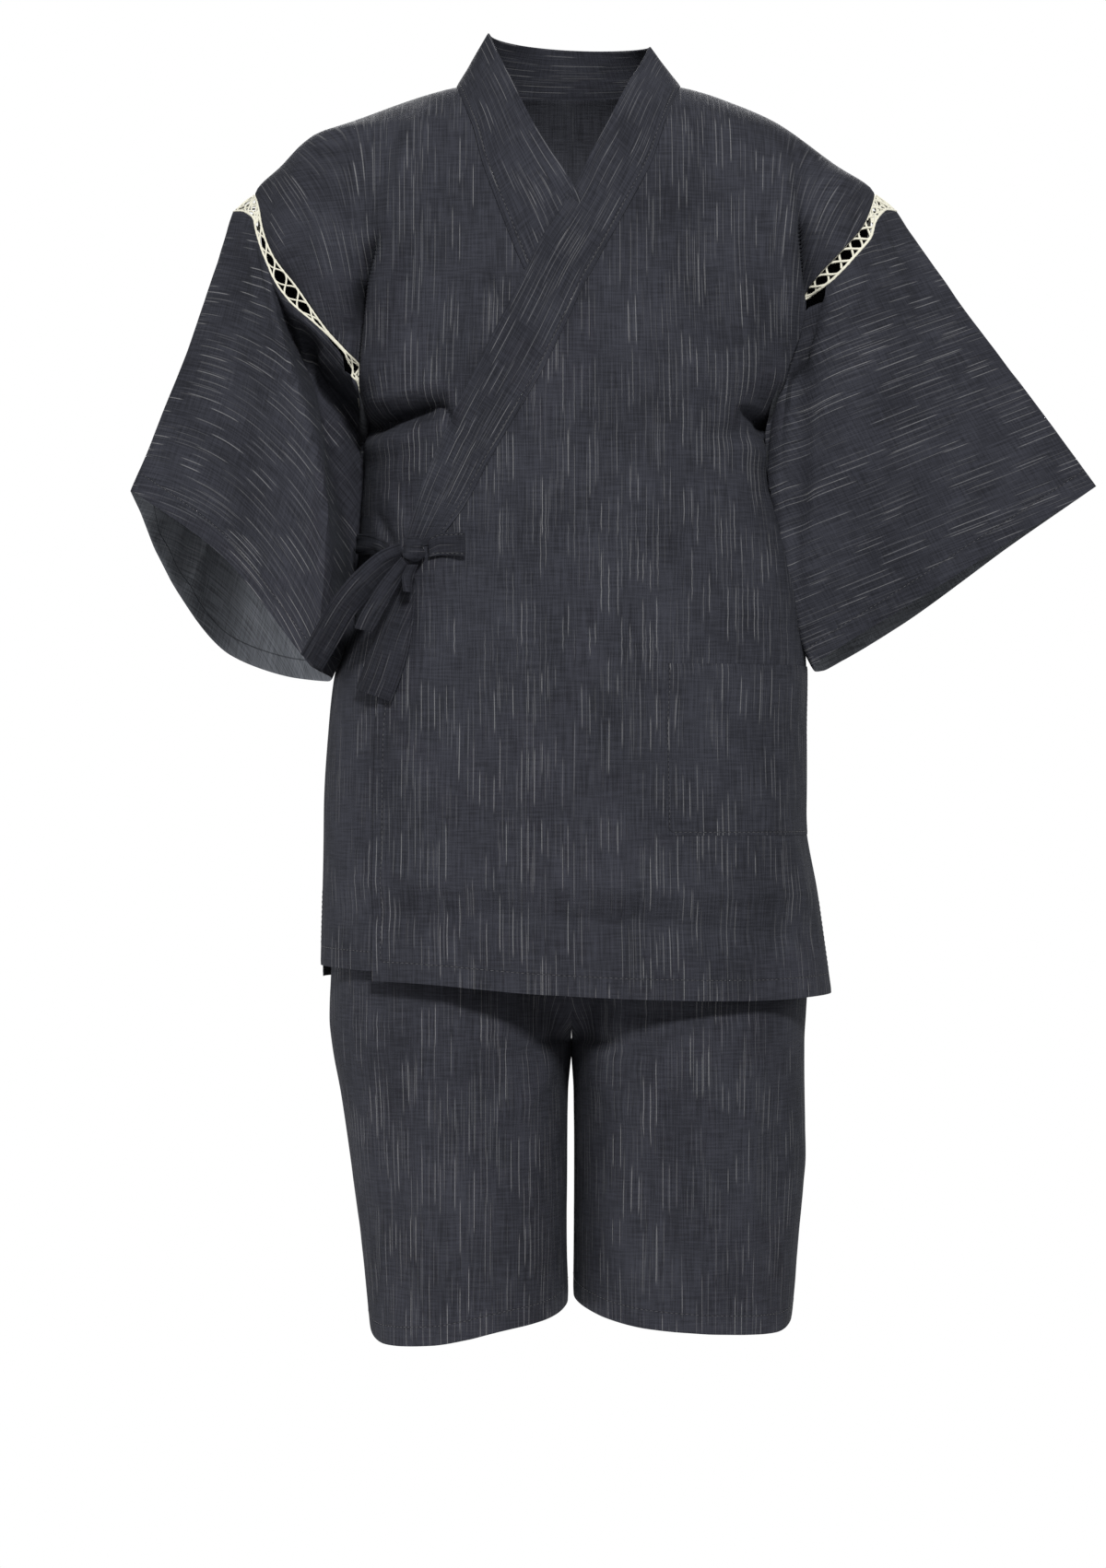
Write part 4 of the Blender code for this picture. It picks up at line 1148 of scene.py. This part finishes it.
def lace_object(side, material):
    """Crochet insertion: two edge cords and crossing cords between them."""
    cell, thick = CROCHET[side + "_cell"], CROCHET[side + "_thick"]
    place, run = even_places(side, -7.75, 7.75, 1.5)
    margin = np.minimum(CROCHET["margin"] / lace_width(side, place), 0.45)
    lift = unit(np.cross(np.gradient(lace_points(side, place, 0.5 + 0 * place), axis=0),
                         sleeve_way(side, place)))
    tubes = []

    def cord(share, rise, radius, at=slice(None)):
        share = margin[at] + (1 - 2 * margin[at]) * share
        path = lace_points(side, place[at], share) + lift[at] * rise[:, None]
        tubes.append(tube(path, radius, 7))

    knots = np.arange(0, run[-1] + cell, cell / 2)
    draws = np.random.default_rng(CROCHET[side + "_seed"]).uniform(-1, 1, len(knots))
    wobble = np.interp(run, knots, draws)
    twisted = thick * (1 + 0.10 * np.sin(run / 0.9))
    cord(0.0 * run, 0.15 * wobble, CROCHET["edge"] * twisted)
    cord(0.0 * run + 1.0, -0.15 * wobble, CROCHET["edge"] * twisted)
    phase = np.pi * (run / cell + 0.05 * wobble)
    for turned in (0.0, np.pi):
        wave = 0.5 + 0.5 * np.cos(phase + turned)
        cord(wave, 0.6 * np.sin(phase + turned), CROCHET["crossing"] * twisted)
    at = np.nonzero(np.abs(place) < 1.7)[0]
    for k, middle in enumerate((0.25, 0.5, 0.75)):
        cord(middle + 0.16 * np.sin(2 * phase[at] + k * 2.1), 0.4 * np.cos(3 * phase[at]),
             CROCHET["tip"], at)
    return joined_tubes("lace_cords_" + side, tubes, material)


def surface_at(sheet, row, col, above):
    """Points on a sheet's outside at fractional rows and columns."""
    rows, cols = sheet.points.shape[:2]
    r = np.clip(np.floor(row).astype(int), 0, rows - 2)
    c = np.clip(np.floor(col).astype(int), 0, cols - 2)
    s, t = (row - r)[:, None], (col - c)[:, None]
    outside = sheet.points + sheet.facing * (sheet.thick / 2 + above)
    top = outside[r, c] * (1 - t) + outside[r, c + 1] * t
    low = outside[r + 1, c] * (1 - t) + outside[r + 1, c + 1] * t
    return top * (1 - s) + low * s


def stitch_paths(sheet):
    """Lines on the sheet where its distance from the stitches is zero."""
    paths = []
    for turned in (False, True):
        field = sheet.stitch.T if turned else sheet.stitch
        r, c = np.nonzero((field[:-1] > 0) != (field[1:] > 0))
        if len(r) < 3:
            continue
        near, far = field[r, c], field[r + 1, c]
        place = r + near / (near - far)
        used = np.zeros(len(r), bool)
        for first in np.lexsort((place, c)):
            line = []
            following = [] if used[first] else [first]
            while len(following):
                line.append(following[0])
                used[line[-1]] = True
                following = np.nonzero(~used & (c == c[line[-1]] + 1)
                                       & (np.abs(place - place[line[-1]]) < 1.6))[0]
            if len(line) > 4:
                ways = place[line], c[line].astype(float)
                paths.append(ways[::-1] if turned else ways)
    return paths


def stitches(sheet, material, long=3.0, gap=1.3, radius=0.26):
    """Topstitching: short threads along each of the sheet's stitch lines."""
    tubes = []
    for row, col in stitch_paths(sheet):
        path = surface_at(sheet, row, col, 0.05)
        run = run_length(path[None], 1)[0]
        start = 1.0
        while start + long < run[-1]:
            at = start + long * np.linspace(0, 1, 4)
            points = np.stack([np.interp(at, run, path[:, k]) for k in range(3)], -1)
            tubes.append(tube(points, radius, 4))
            start += long + gap
    return joined_tubes("stitches_" + sheet.name, tubes, material)


# ---- materials

class Value:
    """A node's output, on which Python's operators add math nodes."""

    def __init__(self, nodes, socket):
        self.nodes, self.socket = nodes, socket

    def __add__(self, other):
        return self.nodes.math("ADD", self, other)

    def __sub__(self, other):
        return self.nodes.math("SUBTRACT", self, other)

    def __rsub__(self, other):
        return self.nodes.math("SUBTRACT", other, self)

    def __mul__(self, other):
        return self.nodes.math("MULTIPLY", self, other)

    def __truediv__(self, other):
        return self.nodes.math("DIVIDE", self, other)

    def spread(self, scale, base):
        """This value times a scale, plus a base."""
        return self.nodes.math("MULTIPLY_ADD", self, scale, base)


class Nodes:
    """Short calls that add nodes to a material."""

    def __init__(self, name):
        self.material = bpy.data.materials.new(name)
        self.material.use_nodes = True
        self.tree = self.material.node_tree

    def node(self, kind, inputs, output=0, **settings):
        """Adds a node and gives its output. Its inputs go by name or number."""
        made = self.tree.nodes.new("ShaderNode" + kind)
        for name, value in settings.items():
            setattr(made, name, value)
        self.feed(made, inputs)
        return Value(self, made.outputs[output])

    def feed(self, node, inputs):
        for key, value in inputs.items():
            if isinstance(value, Value):
                self.tree.links.new(value.socket, node.inputs[key])
            else:
                node.inputs[key].default_value = value

    def surface(self, inputs):
        """Sets the shader's inputs and gives the finished material."""
        self.feed(self.tree.nodes["Principled BSDF"], inputs)
        return self.material

    def math(self, operation, *values, clamp=False):
        return self.node("Math", dict(enumerate(values)), operation=operation, use_clamp=clamp)

    def floor(self, value):
        return self.math("FLOOR", value)

    def fract(self, value):
        return self.math("FRACT", value)

    def step(self, value, low, high):
        """0 below low, 1 above high, smooth between."""
        return self.node("MapRange", {"Value": value, "From Min": low, "From Max": high},
                         interpolation_type="SMOOTHSTEP")

    def vector(self, x, y, z=0.0):
        return self.node("CombineXYZ", {0: x, 1: y, 2: z})

    def parts(self, vector):
        made = self.node("SeparateXYZ", {0: vector}).socket.node
        return [Value(self, made.outputs[k]) for k in range(3)]

    def chance(self, x, y, z):
        """Three random numbers for a cell."""
        return self.parts(self.node("TexWhiteNoise", {"Vector": self.vector(x, y, z)}, "Color",
                                    noise_dimensions="3D"))

    def noise(self, x, y, detail=2.0):
        return self.node("TexNoise", {"Vector": self.vector(x, y), "Scale": 1.0,
                                      "Detail": detail}, "Fac", noise_dimensions="2D")

    def mix(self, share, a, b):
        return self.node("Mix", {"Factor": share, 6: a, 7: b}, 2, data_type="RGBA")

    def bump(self, height, strength, distance):
        return self.node("Bump", {"Height": height, "Strength": strength,
                                  "Distance": distance})

    def coordinates(self, layer):
        """A layer's two coordinates in millimetres."""
        parts = self.parts(self.node("UVMap", {}, uv_map=layer))
        return [parts[k] * 1000.0 for k in (0, 1)]


def shade(colour, share):
    return tuple(c * share for c in colour[:3]) + (1,)


# The cloth's dashes: threads this far apart, resist-dyed over runs of this length, in
# groups of so many threads, of which a share shows. All in millimetres.
KASURI = (
    dict(pitch=5.6, run=66.0, seed=0.0, together=3.0, shown=0.74, width=0.46, bright=1.0),
    dict(pitch=4.9, run=97.0, seed=20.0, together=4.0, shown=0.58, width=0.42, bright=0.62),
    dict(pitch=3.9, run=58.0, seed=40.0, together=4.0, shown=0.60, width=0.40, bright=0.30),
)


def dashes(n, u, v, pitch, run, seed, together, shown, width, bright):
    """Dashes along v, from 0 to their own brightness."""
    thread = u / pitch + (500.0 + seed)
    number, part = n.floor(thread), n.fract(thread)
    own = n.chance(number, 3.0 + seed, 1.0)
    group = n.floor(number / together)
    shared = n.chance(group, 9.0 + seed, 2.0)
    place = v / run + shared[0] * 7.3 + own[2] * 0.34 + 300.0
    stretch, within = n.floor(place), n.fract(place)
    band = n.chance(group, stretch, 5.0 + seed)
    single = n.chance(number, stretch, 8.0 + seed)
    length = band[1].spread(0.40, 0.34) + single[2] * 0.22
    along = n.step(within, 0.0, 0.14) * (1.0 - n.step(within - length, -0.14, 0.0))
    centre = (own[0] - 0.5).spread(0.45, 0.5)
    off = n.math("ABSOLUTE", part - centre) * pitch
    line = 1.0 - n.step(off, width * 0.3, width)
    on = (n.math("GREATER_THAN", band[0], 1 - shown)
          * n.math("GREATER_THAN", single[0], 0.16))
    return along * line * on * single[1].spread(0.82, 0.18) * bright


def cotton(name, ground, dash, strength=1.0, share_in_painted_shade=1.0):
    """Yarn-dyed crinkled cotton: dashes, slubs, cross ribs, weave, and topstitch grooves that are
    also darkened in colour as painted shade.

    share_in_painted_shade is the share of its brightness left well inside the hem; the rest is
    taken away as painted shade.
    """
    n = Nodes(name)
    u, v = n.coordinates("weave")
    stitch, _ = n.coordinates("stitch")
    main, stray, faint = (dashes(n, u, v, **kind) for kind in KASURI)
    marks = n.math("MAXIMUM", n.math("MAXIMUM", main, stray), faint)
    marks = marks * n.noise(u / 0.9, v / 1.6, 1.0).spread(1.0, 0.5)
    slub = n.noise(u / 1.1, v / 34.0, 3.0)
    cross = n.noise(u / 22.0, v / 1.5)
    cloud = n.noise(u / 60.0, v / 80.0)
    tone = n.step(slub * 0.55 + cross * 0.35 + cloud * 0.3, 0.35, 0.85)
    colour = n.mix(tone, shade(ground, 0.56), shade(ground, 1.45))
    colour = n.mix(n.math("MULTIPLY", marks, strength, clamp=True), colour, dash)
    # Painted shade: the colour is darkened along each topstitch line, where the groove's shade
    # would fall; the same mask also sinks the groove in the bump.
    groove_and_painted_shade = 1.0 - n.step(n.math("ABSOLUTE", stitch), 0.25, 0.9)
    colour = n.mix(groove_and_painted_shade * 0.6, colour, shade(ground, 0.45))
    # Painted shade: well inside the hem the colour is darkened towards black.
    if share_in_painted_shade < 1:
        colour = n.mix(n.step(stitch, 20.0, 150.0) * (1 - share_in_painted_shade), colour, (0, 0, 0, 1))
    turn = 2 * math.pi / THREAD_PITCH
    threads = n.math("SINE", u * turn) * n.math("SINE", v * turn)
    pucker = n.noise(u / 7.0, v / 2.3)
    hem_step = n.step(stitch, -0.6, 1.2)
    height = threads * 0.03 + cross * 0.22 + pucker * 0.30 - hem_step * 0.28 - groove_and_painted_shade * 0.30
    return n.surface({
        "Base Color": colour,
        "Roughness": cross.spread(0.16, 0.78),
        "Specular IOR Level": 0.03,
        "Sheen Weight": 0.006,
        "Sheen Roughness": 0.50,
        "Sheen Tint": (0.80, 0.88, 1.0, 1),
        "Normal": n.bump(height, 0.8, MM),
    })


def plain_thread(name, colour, rough, sheen):
    """Twisted thread or crochet cord."""
    n = Nodes(name)
    place = n.node("TexCoord", {}, "Object")
    twist = n.node("TexNoise", {"Scale": 900.0, "Detail": 3.0, "Vector": place}, "Fac")
    return n.surface({
        "Base Color": n.mix(twist, shade(colour, 0.78), colour),
        "Roughness": rough,
        "Sheen Weight": sheen,
        "Normal": n.bump(twist, 0.6, 0.6 * MM),
    })


# ---- assembly

# The camera looks level along +Y, at the middle of the photographed view.
CAMERA = dict(lens=107.1, place=(-0.0158, -4.0, -0.5972), reach=60)
LIGHTS = (
    dict(name="key", place=(0.5, -4.3, 2.2), size=0.7, power=620, aim=(0.0, 0.0, -0.6)),
    dict(name="low_side", place=(-1.6, -0.4, -1.7), size=0.7, power=44, aim=(0.0, 0.0, -1.0)),
    dict(name="back", place=(0.0, 4.3, 2.0), size=1.6, power=480, aim=(0.0, 0.0, -0.6)),
)
FLOOR = dict(radius=1000, z=-1450, corners=96)


def camera_and_light():
    scene = bpy.context.scene
    lens = bpy.data.cameras.new("camera")
    lens.lens = CAMERA["lens"]
    lens.clip_end = CAMERA["reach"]
    camera = bpy.data.objects.new("camera", lens)
    camera.location = CAMERA["place"]
    camera.rotation_euler = (math.radians(90), 0, 0)
    scene.collection.objects.link(camera)
    scene.camera = camera
    scene.view_settings.view_transform = "Standard"
    scene.world = bpy.data.worlds.new("studio")
    scene.world.use_nodes = True
    sky = scene.world.node_tree.nodes["Background"]
    sky.inputs["Color"].default_value = (1.0, 1.0, 1.0, 1)
    sky.inputs["Strength"].default_value = 1.0
    for lamp in LIGHTS:
        light = bpy.data.lights.new(lamp["name"], "AREA")
        light.size = lamp["size"]
        light.energy = lamp["power"]
        obj = bpy.data.objects.new(lamp["name"], light)
        obj.location = lamp["place"]
        way = np.array(lamp["aim"]) - np.array(lamp["place"])
        heading = math.atan2(way[1], way[0]) - math.pi / 2
        obj.rotation_euler = (math.atan2(math.hypot(way[0], way[1]), -way[2]), 0, heading)
        scene.collection.objects.link(obj)


def floor():
    """A pale round floor below the garment."""
    turns = np.linspace(0, 2 * math.pi, FLOOR["corners"], endpoint=False)
    points = np.stack([FLOOR["radius"] * np.cos(turns), FLOOR["radius"] * np.sin(turns),
                       np.full(len(turns), FLOOR["z"])], -1)
    pale = Nodes("pale_floor").surface({"Base Color": (0.80, 0.80, 0.80, 1),
                                        "Roughness": 0.9})
    new_object("studio_floor", points, [range(FLOOR["corners"])], [pale])


UNSTITCHED = ("tie_tail_right", "tie_tail_left", "tie_loop_side", "tie_loop_front",
              "tie_strap_side", "waistband")


def keep(obj, node, replaces=True):
    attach(obj, "root")
    if replaces:
        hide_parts(node)


def faces_of(name, looks):
    """A piece's outer and inner materials."""
    if name in ("collar", "waistband"):
        return looks["band"], looks["band"]
    if name.startswith("tie"):
        return looks["tie"], looks["tie"]
    # The sleeves' inside takes the cotton with painted light near the cuff and painted shade
    # deeper in.
    inside = "sleeve_reverse_painted_light" if name.startswith("sleeve") else "reverse"
    return looks["face"], looks[inside]


def build():
    looks = dict(
        face=cotton("kasuri_cotton", (0.0108, 0.0112, 0.0141, 1), (0.062, 0.062, 0.064, 1)),
        band=cotton("kasuri_cotton_band", (0.0097, 0.0101, 0.0128, 1),
                    (0.050, 0.050, 0.052, 1)),
        reverse=cotton("kasuri_cotton_reverse", (0.0125, 0.0130, 0.0158, 1),
                       (0.036, 0.037, 0.040, 1), 0.5),
        # Painted light: the sleeves' inside is a far paler copy of the cotton, as if lit through
        # the cloth near the cuff; painted shade darkens it deeper inside the sleeve.
        sleeve_reverse_painted_light=cotton("kasuri_sleeve_reverse", (0.064, 0.068, 0.076, 1),
                              (0.115, 0.118, 0.124, 1), 0.5, 0.18),
        # Painted shade: the tie's cotton is a darker copy of the jacket's.
        tie=cotton("kasuri_cotton_tie_painted_shade", (0.0072, 0.0075, 0.0096, 1),
                   (0.030, 0.030, 0.032, 1), 0.8),
    )
    crochet = plain_thread("ivory_crochet", (0.30, 0.29, 0.235, 1), 0.75, 0.1)
    thread = plain_thread("dark_thread", (0.010, 0.010, 0.013, 1), 0.7, 0.05)
    sheets = jacket_sheets() + [pocket_sheet(), sleeve_sheet("left"), sleeve_sheet("right")]
    sheets += [leg_sheet(side, fore) for side in ("right", "left") for fore in (True, False)]
    sheets += [collar_sheet(), waistband_sheet(),
               laid_strip("tie_strap_front", STRAP_FRONT),
               laid_strip("tie_strap_side", STRAP_SIDE),
               laid_strip("tie_tail_right", TAIL_RIGHT),
               free_strip("tie_tail_left", TAIL_LEFT),
               free_strip("tie_loop_side", LOOP_SIDE),
               free_strip("tie_loop_front", LOOP_FRONT)]
    for sheet in sheets:
        obj = build_sheet(sheet, *faces_of(sheet.name, looks))
        keep(obj, sheet.name)
        if sheet.name not in UNSTITCHED:
            keep(stitches(sheet, thread), sheet.name, replaces=False)
    for side in ("left", "right"):
        keep(lace_object(side, crochet), "lace_" + side)
    knot = knot_points()
    faces, _, _ = grid_faces(*knot.shape[:2])
    knot = knot.reshape(-1, 3)
    weave = np.stack([knot[:, 2], knot[:, 0] * 2], -1)
    keep(cloth_object("tie_knot_cloth", knot, faces, [looks["tie"]], weave,
                      np.full(len(knot), FAR)), "tie_knot")


camera_and_light()
floor()
build()
